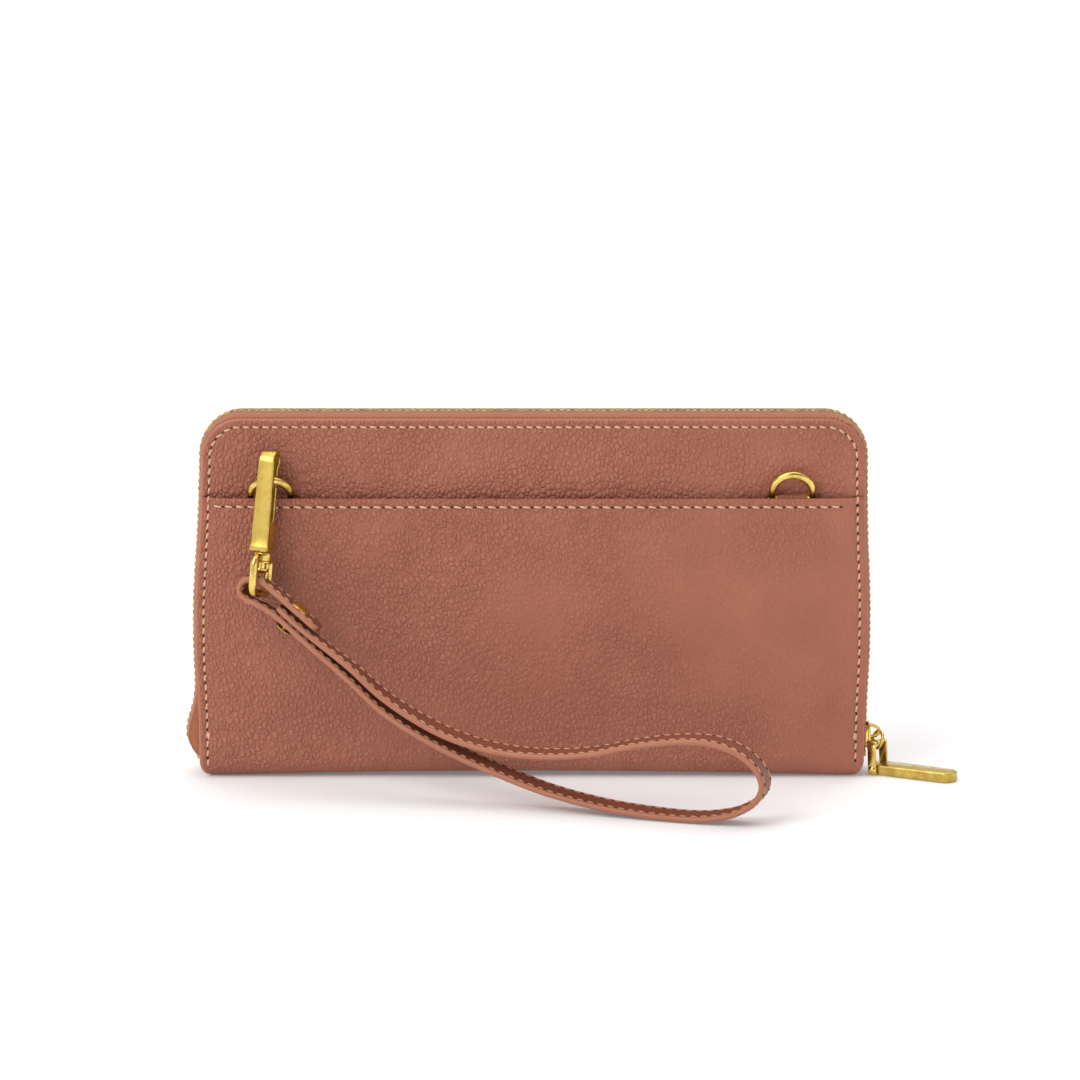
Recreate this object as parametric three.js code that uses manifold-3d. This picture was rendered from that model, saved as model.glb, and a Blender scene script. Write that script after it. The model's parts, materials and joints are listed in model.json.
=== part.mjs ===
// Zip around wallet with a wrist strap, standing on its spine. Millimetres, +Z up.
// X runs along the wallet, the front cover (with the slip pocket) faces -Y, and the origin is
// the centre of the spine's flat underside.
import * as THREE from "three";
import { mergeVertices } from "three/addons/utils/BufferGeometryUtils.js";
import Module from "manifold-3d";

const wasm = await Module();
wasm.setup();

// ---- driving dimensions ---------------------------------------------------------------
const WIDTH = 200;
const HEIGHT = 109.5;
const CORNER_R = 12;
const LEATHER = 1.0;
const FACE_Y = 10.5;
const SPINE_R = 6;
const SPINE_END_W = 96.5;
const GAP = 0.3;

const BOARD_T = 0.5;
const LINING_T = 0.4;
const SLOT_T = 0.4;
const BOARD_INSET = 4;
const LINING_INSET = 1.5;
const LAYER_BOTTOM = 8;
const SLOT_HALF_W = 91;
const FRONT_SLOT_TOPS = [80, 62];
const BACK_SLOT_TOPS = [84, 68, 52];

const POCKET_TOP = 86;
const POCKET_BULGE = 2.4;

const COIN_HALF_W = 96.5;
const COIN_WALL = 0.35;
const COIN_HALF_T = 1.0;
const COIN_ZIP_Z = 90;

const TAPE_T = 0.5;
const RAIL_U = [-0.3, 1.3];
const RAIL_Y = [0.6, 1.9];
const SLIDER_Z = [7, 15];

const RING_X = 77.5;
const RING_WIRE = 1.15;
const RING_HALF_W = 5.95;
const RING_REACH = 8.5;
const RING_BAR = { y: -9.6, z: 85.4 };
const TAB_T = 0.5;
const TAB_GAP = 0.2;
const LEFT_TILT = 39.4;
const RIGHT_TILT = 22;

const HOOK_W = 5.7;
const HOOK_LEAN = 5;
const HOOK_TILT = 11;
const HOOK_YAW = 18;

const STRAP_W = 9.6;
const STRAP_T = 1.75;
const STRAP_YAW = 17;
const STRAP_BAR = { x: -80.4, y: -21.3 };

const PULL_YAW = 28;
const PULL_PIN = { x: 104.9, y: -2.9, z: 1.75 };

const DEG = Math.PI / 180;
const V2 = (x, y) => new THREE.Vector2(x, y);
const V3 = (x, y, z) => new THREE.Vector3(x, y, z);

// ---- finishes -------------------------------------------------------------------------
const finish = (color, roughness, metalness) =>
  new THREE.MeshStandardMaterial({ color, roughness, metalness });
const leather = finish("#a16250", 0.55, 0);
const edgeLeather = finish("#8c4a35", 0.55, 0);
const lining = finish("#b98a70", 0.8, 0);
const board = finish("#c9c0b2", 0.9, 0);
const tape = finish("#b88469", 0.85, 0);
const brass = finish("#bea456", 0.3, 1);

const wallet = new THREE.Group();

function put(name, geometry, material, group = wallet) {
  const mesh = new THREE.Mesh(geometry, material);
  mesh.name = name;
  group.add(mesh);
  return mesh;
}

// ---- solid helpers --------------------------------------------------------------------
function solidOf(geometry) {
  const bare = geometry.clone();
  bare.deleteAttribute("normal");
  bare.deleteAttribute("uv");
  const merged = mergeVertices(bare, 1e-4);
  const mesh = new wasm.Mesh({
    numProp: 3,
    vertProperties: new Float32Array(merged.attributes.position.array),
    triVerts: new Uint32Array(merged.index.array),
  });
  return new wasm.Manifold(mesh);
}

function geometryOf(solid) {
  const mesh = solid.getMesh();
  const geometry = new THREE.BufferGeometry();
  geometry.setAttribute("position", new THREE.BufferAttribute(mesh.vertProperties, 3));
  geometry.setIndex(new THREE.BufferAttribute(mesh.triVerts, 1));
  geometry.computeVertexNormals();
  return geometry;
}

const cut = (body, ...tools) =>
  geometryOf(tools.reduce((left, tool) => left.subtract(solidOf(tool)), solidOf(body)));
const join = (...pieces) =>
  geometryOf(pieces.map(solidOf).reduce((left, right) => left.add(right)));

function box(x, y, z) {
  const geometry = new THREE.BoxGeometry(x[1] - x[0], y[1] - y[0], z[1] - z[0]);
  return geometry.translate((x[0] + x[1]) / 2, (y[0] + y[1]) / 2, (z[0] + z[1]) / 2);
}

function plate(shape, y, curveSegments = 6) {
  const depth = y[1] - y[0];
  const geometry = new THREE.ExtrudeGeometry(shape, { depth, bevelEnabled: false, curveSegments });
  return geometry.rotateX(Math.PI / 2).translate(0, y[1], 0);
}

// A cover's outline in x and z: square at the bottom, rounded at both top corners.
function coverShape(inset, bottom) {
  const half = WIDTH / 2 - inset;
  const top = HEIGHT - inset;
  const r = CORNER_R - inset;
  const shape = new THREE.Shape();
  shape.moveTo(-half, bottom);
  shape.lineTo(half, bottom);
  shape.lineTo(half, top - r);
  shape.absarc(half - r, top - r, r, 0, 90 * DEG);
  shape.lineTo(-half + r, top);
  shape.absarc(-half + r, top - r, r, 90 * DEG, 180 * DEG);
  return shape;
}

// Stations round three sides of a cover, with the outward direction at each.
function rimStations(leftBottom, rightBottom, arcSteps = 8) {
  const half = WIDTH / 2;
  const centreX = half - CORNER_R;
  const centreZ = HEIGHT - CORNER_R;
  const stations = [{ x: -half, z: leftBottom, nx: -1, nz: 0 }];
  for (const side of [-1, 1]) {
    for (let i = 0; i <= arcSteps; i++) {
      const turn = side < 0 ? 180 - (90 * i) / arcSteps : 90 - (90 * i) / arcSteps;
      const nx = Math.cos(turn * DEG);
      const nz = Math.sin(turn * DEG);
      stations.push({ x: side * centreX + CORNER_R * nx, z: centreZ + CORNER_R * nz, nx, nz });
    }
  }
  stations.push({ x: half, z: rightBottom, nx: 1, nz: 0 });
  return stations;
}

// Sweeps a section of (outward, y) points round the stations.
function rimSweep(section, stations) {
  const flip = THREE.ShapeUtils.area(section) < 0;
  const ring = flip ? [...section].reverse() : section;
  const n = ring.length;
  const positions = [];
  for (const s of stations) {
    for (const p of ring) positions.push(s.x + p.x * s.nx, p.y, s.z + p.x * s.nz);
  }
  const index = [];
  for (let k = 0; k + 1 < stations.length; k++) {
    for (let i = 0; i < n; i++) {
      const a = k * n + i;
      const b = k * n + ((i + 1) % n);
      index.push(a, a + n, b, b, a + n, b + n);
    }
  }
  const last = (stations.length - 1) * n;
  for (const [i, j, k] of THREE.ShapeUtils.triangulateShape(ring, [])) {
    index.push(i, j, k, last + i, last + k, last + j);
  }
  return facingOut(positions, index);
}

// Makes a geometry from a closed surface, turned so that its faces point out.
function facingOut(positions, index) {
  let volume = 0;
  const at = (i) => V3(positions[3 * i], positions[3 * i + 1], positions[3 * i + 2]);
  for (let f = 0; f < index.length; f += 3) {
    volume += at(index[f]).dot(at(index[f + 1]).cross(at(index[f + 2])));
  }
  if (volume < 0) index.reverse();
  const geometry = new THREE.BufferGeometry();
  geometry.setAttribute("position", new THREE.Float32BufferAttribute(positions, 3));
  geometry.setIndex(index);
  geometry.computeVertexNormals();
  return geometry;
}

// A leather sheet that runs through rows of {half width, outer y z, inner y z}.
function bentSheet(rows) {
  const positions = [];
  for (const { w, outer, inner } of rows) {
    positions.push(-w, ...outer, w, ...outer, w, ...inner, -w, ...inner);
  }
  const index = [];
  for (let k = 0; k + 1 < rows.length; k++) {
    for (let i = 0; i < 4; i++) {
      const a = 4 * k + i;
      const b = 4 * k + ((i + 1) % 4);
      index.push(a, b, a + 4, b, b + 4, a + 4);
    }
  }
  const last = 4 * (rows.length - 1);
  index.push(0, 2, 1, 0, 3, 2, last, last + 1, last + 2, last, last + 2, last + 3);
  return facingOut(positions, index);
}

// ---- covers ---------------------------------------------------------------------------
const layer = (outer, thickness) => [outer, outer + thickness];
const FRONT_PANEL_Y = layer(-FACE_Y + LEATHER + GAP, LEATHER);
const FRONT_BOARD_Y = layer(FRONT_PANEL_Y[1] + GAP, BOARD_T);
const FRONT_LINING_Y = layer(FRONT_BOARD_Y[1] + GAP, LINING_T);
const BACK_PANEL_Y = [FACE_Y - LEATHER, FACE_Y];
const BACK_BOARD_Y = layer(BACK_PANEL_Y[0] - GAP - BOARD_T, BOARD_T);
const BACK_LINING_Y = layer(BACK_BOARD_Y[0] - GAP - LINING_T, LINING_T);
const PANEL_BOTTOM = SPINE_R + GAP;

function ringWindow(side, y) {
  const half = RING_HALF_W + RING_WIRE + 2 * GAP;
  return box([side * RING_X - half, side * RING_X + half], y, [RING_BAR.z - 9, RING_BAR.z + 2.4]);
}

function frontPanel() {
  const y = [FRONT_PANEL_Y[0] - 1, FRONT_PANEL_Y[1] + 1];
  const sheet = plate(coverShape(0, PANEL_BOTTOM), FRONT_PANEL_Y);
  put("front_panel", cut(sheet, ringWindow(-1, y), ringWindow(1, y)), leather);
}

function frontBoard() {
  const y = [FRONT_BOARD_Y[0] - 1, FRONT_BOARD_Y[1] + 1];
  const sheet = plate(coverShape(BOARD_INSET, LAYER_BOTTOM), FRONT_BOARD_Y);
  put("front_board", cut(sheet, ringWindow(-1, y), ringWindow(1, y)), board);
}

function backCover() {
  put("back_panel", plate(coverShape(0, PANEL_BOTTOM), BACK_PANEL_Y), leather);
  put("back_board", plate(coverShape(BOARD_INSET, LAYER_BOTTOM), BACK_BOARD_Y), board);
}

function linings() {
  put("front_lining", plate(coverShape(LINING_INSET, LAYER_BOTTOM), FRONT_LINING_Y), lining);
  put("back_lining", plate(coverShape(LINING_INSET, LAYER_BOTTOM), BACK_LINING_Y), lining);
}

function cardSlots() {
  const half = [-SLOT_HALF_W, SLOT_HALF_W];
  FRONT_SLOT_TOPS.forEach((top, i) => {
    const y = FRONT_LINING_Y[1] + GAP + i * (SLOT_T + GAP);
    put(`card_slot_front_${i + 1}`, box(half, layer(y, SLOT_T), [LAYER_BOTTOM, top]), lining);
  });
  BACK_SLOT_TOPS.forEach((top, i) => {
    const y = BACK_LINING_Y[0] - (i + 1) * (SLOT_T + GAP);
    put(`card_slot_back_${i + 1}`, box(half, layer(y, SLOT_T), [LAYER_BOTTOM, top]), lining);
  });
}

// The pocket lies flat where it is sewn and stands away from the panel towards its mouth.
function pocketBulge(x, z) {
  const across = 1 - Math.abs(x / (WIDTH / 2)) ** 12;
  const up = Math.max(0, (z - PANEL_BOTTOM) / (POCKET_TOP - PANEL_BOTTOM));
  return POCKET_BULGE * across * up ** 1.4;
}

function slipPocket() {
  const columns = 20;
  const rows = 8;
  const positions = [];
  const spread = (t) => Math.sin((t * Math.PI) / 2);
  for (const side of [0, LEATHER]) {
    for (let j = 0; j <= rows; j++) {
      const z = PANEL_BOTTOM + ((POCKET_TOP - PANEL_BOTTOM) * j) / rows;
      for (let i = 0; i <= columns; i++) {
        const x = (WIDTH / 2) * spread((2 * i) / columns - 1);
        positions.push(x, -FACE_Y + side - pocketBulge(x, z), z);
      }
    }
  }
  const wide = columns + 1;
  const back = wide * (rows + 1);
  const index = [];
  const quad = (a, b, c, d) => index.push(a, b, c, a, c, d);
  for (let j = 0; j < rows; j++) {
    for (let i = 0; i < columns; i++) {
      const a = j * wide + i;
      quad(a, a + 1, a + 1 + wide, a + wide);
      quad(back + a, back + a + wide, back + a + 1 + wide, back + a + 1);
    }
  }
  const rim = [];
  for (let i = 0; i < columns; i++) rim.push(i);
  for (let j = 0; j < rows; j++) rim.push(j * wide + columns);
  for (let i = columns; i > 0; i--) rim.push(rows * wide + i);
  for (let j = rows; j > 0; j--) rim.push(j * wide);
  rim.forEach((a, k) => {
    const b = rim[(k + 1) % rim.length];
    quad(b, a, back + a, back + b);
  });
  put("slip_pocket", facingOut(positions, index), leather);
}

// ---- spine ----------------------------------------------------------------------------
// One row of the spine's round corner; turn is 0 at the floor and 90 at the cover.
function spineRow(side, turn) {
  const centre = FACE_Y - SPINE_R;
  const point = (r) => [
    side * (centre + r * Math.sin(turn * DEG)),
    SPINE_R - r * Math.cos(turn * DEG),
  ];
  const w = SPINE_END_W + (WIDTH / 2 - SPINE_END_W) * Math.sin(turn * DEG);
  return { w, outer: point(SPINE_R), inner: point(SPINE_R - LEATHER) };
}

function spine() {
  const turns = [90, 72, 54, 36, 18, 0];
  const front = turns.map((turn) => spineRow(-1, turn));
  put("spine", bentSheet([...front, spineRow(1, 0)]), leather);
  const rear = turns.slice(0, -1).reverse().map((turn) => spineRow(1, turn));
  put("spine_rear_bend", bentSheet([spineRow(1, 3), ...rear]), leather);
  const half = FACE_Y - SPINE_R - GAP;
  const floor = LEATHER + GAP;
  put("spine_board", box([-94, 94], [-half, half], [floor, floor + BOARD_T]), board);
}

// ---- D-rings and their tabs -----------------------------------------------------------
class DRingCurve extends THREE.Curve {
  getPoint(t, target = V3(0, 0, 0)) {
    const corner = 1.5;
    const leg = RING_REACH - RING_HALF_W;
    const path = new THREE.Path();
    path.moveTo(RING_HALF_W - corner, 0);
    path.absarc(RING_HALF_W - corner, corner, corner, -90 * DEG, 0);
    path.lineTo(RING_HALF_W, leg);
    path.absarc(0, leg, RING_HALF_W, 0, 180 * DEG);
    path.lineTo(-RING_HALF_W, corner);
    path.absarc(-RING_HALF_W + corner, corner, corner, 180 * DEG, 270 * DEG);
    path.lineTo(RING_HALF_W - corner, 0);
    const p = path.getPoint(t % 1);
    return target.set(p.x, 0, p.y);
  }
}

function dRing(name, side, tilt) {
  const ring = new THREE.TubeGeometry(new DRingCurve(), 34, RING_WIRE, 8, true);
  const mesh = put(name, ring, brass);
  mesh.rotation.x = tilt * DEG;
  mesh.position.set(side * RING_X, RING_BAR.y, RING_BAR.z);
}

// A leather strip folded over the ring's straight bar, its ends going down into the pocket.
function dRingTab(name, side) {
  const inner = RING_WIRE + TAB_GAP;
  const outer = inner + TAB_T;
  const end = 5;
  const shape = new THREE.Shape();
  shape.moveTo(outer, -end);
  shape.lineTo(outer, 0);
  shape.absarc(0, 0, outer, 0, 180 * DEG);
  shape.lineTo(-outer, -end);
  shape.lineTo(-inner, -end);
  shape.lineTo(-inner, 0);
  shape.absarc(0, 0, inner, 180 * DEG, 0, true);
  shape.lineTo(inner, -end);
  const width = 8;
  const fold = new THREE.ExtrudeGeometry(shape, { depth: width, bevelEnabled: false, curveSegments: 8 });
  fold.rotateX(Math.PI / 2).rotateZ(Math.PI / 2);
  fold.translate(side * RING_X - width / 2, RING_BAR.y, RING_BAR.z);
  put(name, fold, leather);
}

// ---- zip round the rim ----------------------------------------------------------------
function zipHalves() {
  for (const side of [-1, 1]) {
    const place = side < 0 ? "front" : "back";
    const flange = side < 0 ? -FRONT_BOARD_Y[0] : BACK_BOARD_Y[1];
    const inner = flange - TAPE_T;
    const edge = RAIL_Y[1] + GAP;
    const section = [
      [-3.4, flange], [-0.1, flange], [0.8, edge], [0.3, edge], [-0.6, inner], [-3.4, inner],
    ].map(([u, y]) => V2(u, side * y));
    const stations = rimStations(PANEL_BOTTOM, PANEL_BOTTOM);
    put(`zip_tape_${place}`, rimSweep(section, stations), tape);
    const bar = [[0, 0], [1, 0], [1, 1], [0, 1]].map(([i, j]) => V2(RAIL_U[i], side * RAIL_Y[j]));
    const clearOfSlider = rimStations(PANEL_BOTTOM + GAP, SLIDER_Z[1] + GAP);
    put(`zip_teeth_${place}`, rimSweep(bar, clearOfSlider), brass);
    const y = [side * RAIL_Y[0], side * RAIL_Y[1]].sort((a, b) => a - b);
    const x = [WIDTH / 2 + RAIL_U[0], WIDTH / 2 + RAIL_U[1]];
    put(`zip_end_stop_${place}`, box(x, y, [4.8, SLIDER_Z[0] - GAP]), brass);
  }
  const left = [-WIDTH / 2 - 1.6, -WIDTH / 2 + 0.4];
  put("zip_bottom_stop", box(left, [-1.9, 1.9], [4.0, PANEL_BOTTOM]), brass);
}

function zipSlider() {
  const outer = box([101.6, 102.4], [-4, 4], SLIDER_Z);
  const inner = box([98.4, 99.3], [-4, 4], SLIDER_Z);
  const post = box([99, 102], [-0.3, 0.3], [SLIDER_Z[0], SLIDER_Z[0] + 2.5]);
  put("zip_slider_body", join(outer, inner, post), brass);
  const eye = V2(104.6, 12.4);
  const lug = new THREE.Shape();
  lug.moveTo(102.7, 10.5);
  lug.lineTo(eye.x, eye.y - 2.2);
  lug.absarc(eye.x, eye.y, 2.2, -90 * DEG, 90 * DEG);
  lug.lineTo(102.7, 14.4);
  const hole = new THREE.Path();
  hole.absarc(eye.x, eye.y, 1.5, 0, 360 * DEG);
  lug.holes.push(hole);
  put("zip_slider_crown", plate(lug, [-1.5, -0.9], 8), brass);
}

// ---- zip pull -------------------------------------------------------------------------
const PULL_EYE = V3(104.6, -1.2, 12.4);
const PULL_RING_R = 2.7;
const RING_DOWN = V3(0, -0.6, -0.8);
const RING_ALONG = V3(0.5, -0.69, 0.52).normalize();
const BAR_ALONG = V3(Math.cos(PULL_YAW * DEG), -Math.sin(PULL_YAW * DEG), 0);
const BAR_ACROSS = V3(Math.sin(PULL_YAW * DEG), Math.cos(PULL_YAW * DEG), 0);

function basis(x, y, z, origin) {
  return new THREE.Matrix4().makeBasis(x, y, z).setPosition(origin);
}

function pullRing() {
  const ring = new THREE.TorusGeometry(PULL_RING_R, 0.5, 8, 22);
  const centre = PULL_EYE.clone().addScaledVector(RING_DOWN, PULL_RING_R);
  const down = RING_DOWN.clone().addScaledVector(RING_ALONG, -RING_DOWN.dot(RING_ALONG)).normalize();
  const normal = down.clone().cross(RING_ALONG);
  ring.applyMatrix4(basis(down, RING_ALONG, normal, centre));
  put("pull_ring", ring, brass);
}

// A strip bent into a U: its middle goes through the ring and its ends hold the pin.
function pullShackle() {
  const reach = 7.9;
  const outer = 4.8;
  const inner = 3.8;
  const end = 1.45;
  const bend = 1.4;
  const shape = new THREE.Shape();
  shape.moveTo(-outer, -end);
  shape.lineTo(-inner, -end);
  shape.lineTo(-inner, reach - 0.5);
  shape.lineTo(inner, reach - 0.5);
  shape.lineTo(inner, -end);
  shape.lineTo(outer, -end);
  shape.lineTo(outer, reach + 0.5 - bend);
  shape.lineTo(outer - bend, reach + 0.5);
  shape.lineTo(-outer + bend, reach + 0.5);
  shape.lineTo(-outer, reach + 0.5 - bend);
  const width = 2.6;
  const strip = new THREE.ExtrudeGeometry(shape, { depth: width, bevelEnabled: false });
  strip.translate(0, 0, -width / 2);
  const bore = new THREE.CylinderGeometry(0.85, 0.85, 12, 12).rotateZ(Math.PI / 2);
  const lean = V3(0, 0, 1).addScaledVector(BAR_ALONG, -0.05).normalize();
  const forward = BAR_ACROSS.clone().cross(lean);
  const origin = V3(PULL_PIN.x, PULL_PIN.y, PULL_PIN.z);
  const frame = basis(BAR_ACROSS, lean, forward, origin);
  put("pull_shackle", cut(strip, bore).applyMatrix4(frame), brass);
}

function pullBarAndPin() {
  const frame = basis(BAR_ALONG, BAR_ACROSS, V3(0, 0, 1), V3(PULL_PIN.x, PULL_PIN.y, 0));
  const shape = new THREE.Shape();
  const half = 3.5;
  const chamfer = 1.2;
  const [near, far] = [-1.6, 25.2];
  shape.moveTo(near, -half + chamfer);
  shape.lineTo(near + chamfer, -half);
  shape.lineTo(far - chamfer, -half);
  shape.lineTo(far, -half + chamfer);
  shape.lineTo(far, half - chamfer);
  shape.lineTo(far - chamfer, half);
  shape.lineTo(near + chamfer, half);
  shape.lineTo(near, half - chamfer);
  const slab = new THREE.ExtrudeGeometry(shape, { depth: 3, bevelEnabled: false }).translate(0, 0, 0.1);
  const bore = new THREE.CylinderGeometry(0.85, 0.85, 12, 12).translate(0, 0, PULL_PIN.z);
  put("pull_bar", cut(slab, bore).applyMatrix4(frame), brass);
  const head = new THREE.CylinderGeometry(0.75, 0.75, 10.4, 12).translate(0, 0, PULL_PIN.z);
  put("pull_pin", head.applyMatrix4(frame), brass);
}

// ---- trigger snap hook ----------------------------------------------------------------
// The hook is drawn with the ring's wire at its origin: x across, y up its length, z outward.
const HOOK_ORIGIN = V3(
  -RING_X,
  RING_BAR.y - RING_REACH * Math.sin(LEFT_TILT * DEG),
  RING_BAR.z + RING_REACH * Math.cos(LEFT_TILT * DEG),
);
const HOOK_UP = V3(Math.tan(HOOK_LEAN * DEG), Math.tan(HOOK_TILT * DEG), 1).normalize();
const HOOK_OUT = V3(-Math.sin(HOOK_YAW * DEG), -Math.cos(HOOK_YAW * DEG), 0);
HOOK_OUT.addScaledVector(HOOK_UP, -HOOK_OUT.dot(HOOK_UP)).normalize();
const HOOK_FRAME = basis(HOOK_UP.clone().cross(HOOK_OUT), HOOK_UP, HOOK_OUT, HOOK_ORIGIN);
const PLATE_Z = [2.4, 4.0];
const NOSE_Z = [-3.1, -1.9];
const NOSE_END = -1.5;
const HOOK_TOP = 8.9;
const HOOK_FOOT = -21;
const GATE_PIN = { y: -14.2, z: -1.6 };

// Extrudes an outline of (outward, up) points across the hook's width.
function acrossHook(shape, width, curveSegments = 8) {
  const solid = new THREE.ExtrudeGeometry(shape, { depth: width, bevelEnabled: false, curveSegments });
  return solid.translate(0, 0, -width / 2).rotateY(-Math.PI / 2);
}

function hookBody() {
  const top = (PLATE_Z[1] - NOSE_Z[0]) / 2;
  const mid = (PLATE_Z[1] + NOSE_Z[0]) / 2;
  const bow = HOOK_TOP - top;
  const shape = new THREE.Shape();
  shape.moveTo(PLATE_Z[1], HOOK_FOOT);
  shape.lineTo(PLATE_Z[1], bow);
  shape.absarc(mid, bow, top, 0, 180 * DEG);
  shape.lineTo(NOSE_Z[0], NOSE_END);
  shape.lineTo(NOSE_Z[1], NOSE_END);
  shape.lineTo(NOSE_Z[1], bow);
  shape.absarc((PLATE_Z[0] + NOSE_Z[1]) / 2, bow, (PLATE_Z[0] - NOSE_Z[1]) / 2, 180 * DEG, 0, true);
  shape.lineTo(PLATE_Z[0], -17.8);
  shape.lineTo(-2.6, -17.8);
  shape.lineTo(-2.6, HOOK_FOOT);
  const strip = acrossHook(shape, HOOK_W);
  const ears = [-1, 1].map((side) =>
    box([side * 2.35 - 0.5, side * 2.35 + 0.5], [-18.2, -12.6], [-3.0, 3.0]));
  const bore = new THREE.CylinderGeometry(0.75, 0.75, 8, 10).rotateZ(Math.PI / 2);
  bore.translate(0, GATE_PIN.y, GATE_PIN.z);
  const narrow = [-1, 1].map((side) =>
    box([side * 3 - 1.55, side * 3 + 1.55], [-3, bow - 0.2], [-4, 0.1]));
  const post = new THREE.CylinderGeometry(1.0, 1.0, 5.2, 12).translate(0, HOOK_FOOT - 2.4, 0.2);
  const body = cut(join(strip, ...ears), bore, ...narrow);
  put("hook_body", join(body, post).applyMatrix4(HOOK_FRAME), brass);
}

function hookGate() {
  const shape = new THREE.Shape();
  const tip = NOSE_END - GAP;
  shape.moveTo(-3.0, tip);
  shape.lineTo(-3.0, -15.3);
  shape.lineTo(-0.4, -15.3);
  shape.lineTo(-0.4, -13.2);
  shape.lineTo(-1.9, -12.0);
  shape.lineTo(-1.9, tip);
  const arm = acrossHook(shape, 3.2);
  const bore = new THREE.CylinderGeometry(0.75, 0.75, 8, 10).rotateZ(Math.PI / 2);
  bore.translate(0, GATE_PIN.y, GATE_PIN.z);
  put("hook_gate", cut(arm, bore).applyMatrix4(HOOK_FRAME), brass);
  const pin = new THREE.CylinderGeometry(0.6, 0.6, HOOK_W, 10).rotateZ(Math.PI / 2);
  pin.translate(0, GATE_PIN.y, GATE_PIN.z);
  put("gate_pin", pin.applyMatrix4(HOOK_FRAME), brass);
  const leaf = new THREE.Shape();
  leaf.moveTo(2.1, -13.0);
  leaf.lineTo(1.8, -13.0);
  leaf.lineTo(-1.5, -5.0);
  leaf.lineTo(-1.2, -5.0);
  put("gate_spring", acrossHook(leaf, 2.2).applyMatrix4(HOOK_FRAME), brass);
}

// The swivel ring turns on the hook's post; its loop's plane is close to square to the cover.
const LOOP_ALONG = V3(Math.sin(STRAP_YAW * DEG), Math.cos(STRAP_YAW * DEG), 0);

class LoopCurve extends THREE.Curve {
  getPoint(t, target = V3(0, 0, 0)) {
    const half = 6.55;
    const drop = 10.6;
    const r = 2.2;
    const path = new THREE.Path();
    path.moveTo(half - r, 0);
    path.absarc(half - r, -r, r, 90 * DEG, 0, true);
    path.lineTo(half, -drop + r);
    path.absarc(half - r, -drop + r, r, 0, -90 * DEG, true);
    path.lineTo(-half + r, -drop);
    path.absarc(-half + r, -drop + r, r, -90 * DEG, -180 * DEG, true);
    path.lineTo(-half, -r);
    path.absarc(-half + r, -r, r, 180 * DEG, 90 * DEG, true);
    path.lineTo(half - r, 0);
    const p = path.getPoint(t % 1);
    return target.set(p.x, p.y, 0);
  }
}

function swivelRing() {
  const loop = new THREE.TubeGeometry(new LoopCurve(), 44, RING_WIRE, 8, true);
  const hub = new THREE.CylinderGeometry(2.75, 2.75, 3.3, 16);
  const bore = new THREE.CylinderGeometry(1.3, 1.3, 6, 12);
  const hubCentre = V3(0, HOOK_FOOT - GAP - 1.65, 0.2).applyMatrix4(HOOK_FRAME);
  const up = HOOK_UP;
  const across = LOOP_ALONG.clone().addScaledVector(up, -LOOP_ALONG.dot(up)).normalize();
  const frame = basis(across, up, across.clone().cross(up), hubCentre);
  put("swivel_ring", cut(join(loop, hub), bore).applyMatrix4(frame), brass);
  const profile = [[0, 0], [2.2, 0], [2.2, 0.6], [1.6, 1.2], [0, 1.4]].map(([r, y]) => V2(r, -y));
  const head = new THREE.LatheGeometry(profile.reverse(), 14);
  head.translate(0, HOOK_FOOT - 5.3, 0.2);
  put("swivel_rivet", head.applyMatrix4(HOOK_FRAME), brass);
}

// ---- wrist strap ----------------------------------------------------------------------
// The strap lies in an upright plane. Its route is in (distance along the plane, height), from
// its tucked end, out round the wrist loop, back, round the swivel ring's bar and to its tab.
const STRAP_ROUTE = [
  [6.2, 55.4], [15.6, 47.9], [28.6, 38.8], [40.4, 29.6], [57.6, 21.0], [73, 17.2], [89, 16.6],
  [103, 18.3], [116, 21.6], [130.8, 24.0], [140, 23.8], [147.5, 21.2], [152.6, 16.8],
  [154.2, 12], [152, 7.6], [146.5, 3.9], [139, 1.9], [130.8, 1.2], [114, 1.9], [103, 3.2],
  [89, 6.0], [73, 11.0], [57.6, 16.8], [40.4, 25.4], [28.6, 34.8], [15.6, 44.9], [6.4, 52.3],
  [1.0, 55.4], [-3.4, 57.2], [-4.9, 60.1], [-2.9, 62.7], [0.8, 62.8], [6.6, 59.0],
  [12, 54.7], [18.6, 49.5],
];
const STRAP_ALONG = V3(Math.cos(STRAP_YAW * DEG), -Math.sin(STRAP_YAW * DEG), 0);
const STRAP_RIVET = { s: 10.2, z: 52.3, slope: -38.5 };

function strapFrame() {
  const across = STRAP_ALONG.clone().cross(V3(0, 0, 1));
  return basis(STRAP_ALONG, V3(0, 0, 1), across, V3(STRAP_BAR.x, STRAP_BAR.y, 0));
}

function rivetFrame() {
  return new THREE.Matrix4()
    .makeTranslation(STRAP_RIVET.s, STRAP_RIVET.z, 0)
    .multiply(new THREE.Matrix4().makeRotationZ(STRAP_RIVET.slope * DEG));
}

function wristStrap() {
  const route = new THREE.CatmullRomCurve3(STRAP_ROUTE.map(([s, z]) => V3(s, z, 0)));
  const [w, h, c] = [STRAP_W / 2, STRAP_T / 2, 0.3];
  const section = new THREE.Shape([
    V2(-w + c, -h), V2(w - c, -h), V2(w, -h + c), V2(w, h - c),
    V2(w - c, h), V2(-w + c, h), V2(-w, h - c), V2(-w, -h + c),
  ]);
  const tube = new THREE.ExtrudeGeometry(section, { steps: 80, extrudePath: route });
  const hole = new THREE.CylinderGeometry(1.3, 1.3, 9, 10).applyMatrix4(rivetFrame());
  put("wrist_strap", cut(tube, hole).applyMatrix4(strapFrame()), edgeLeather);
}

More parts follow.
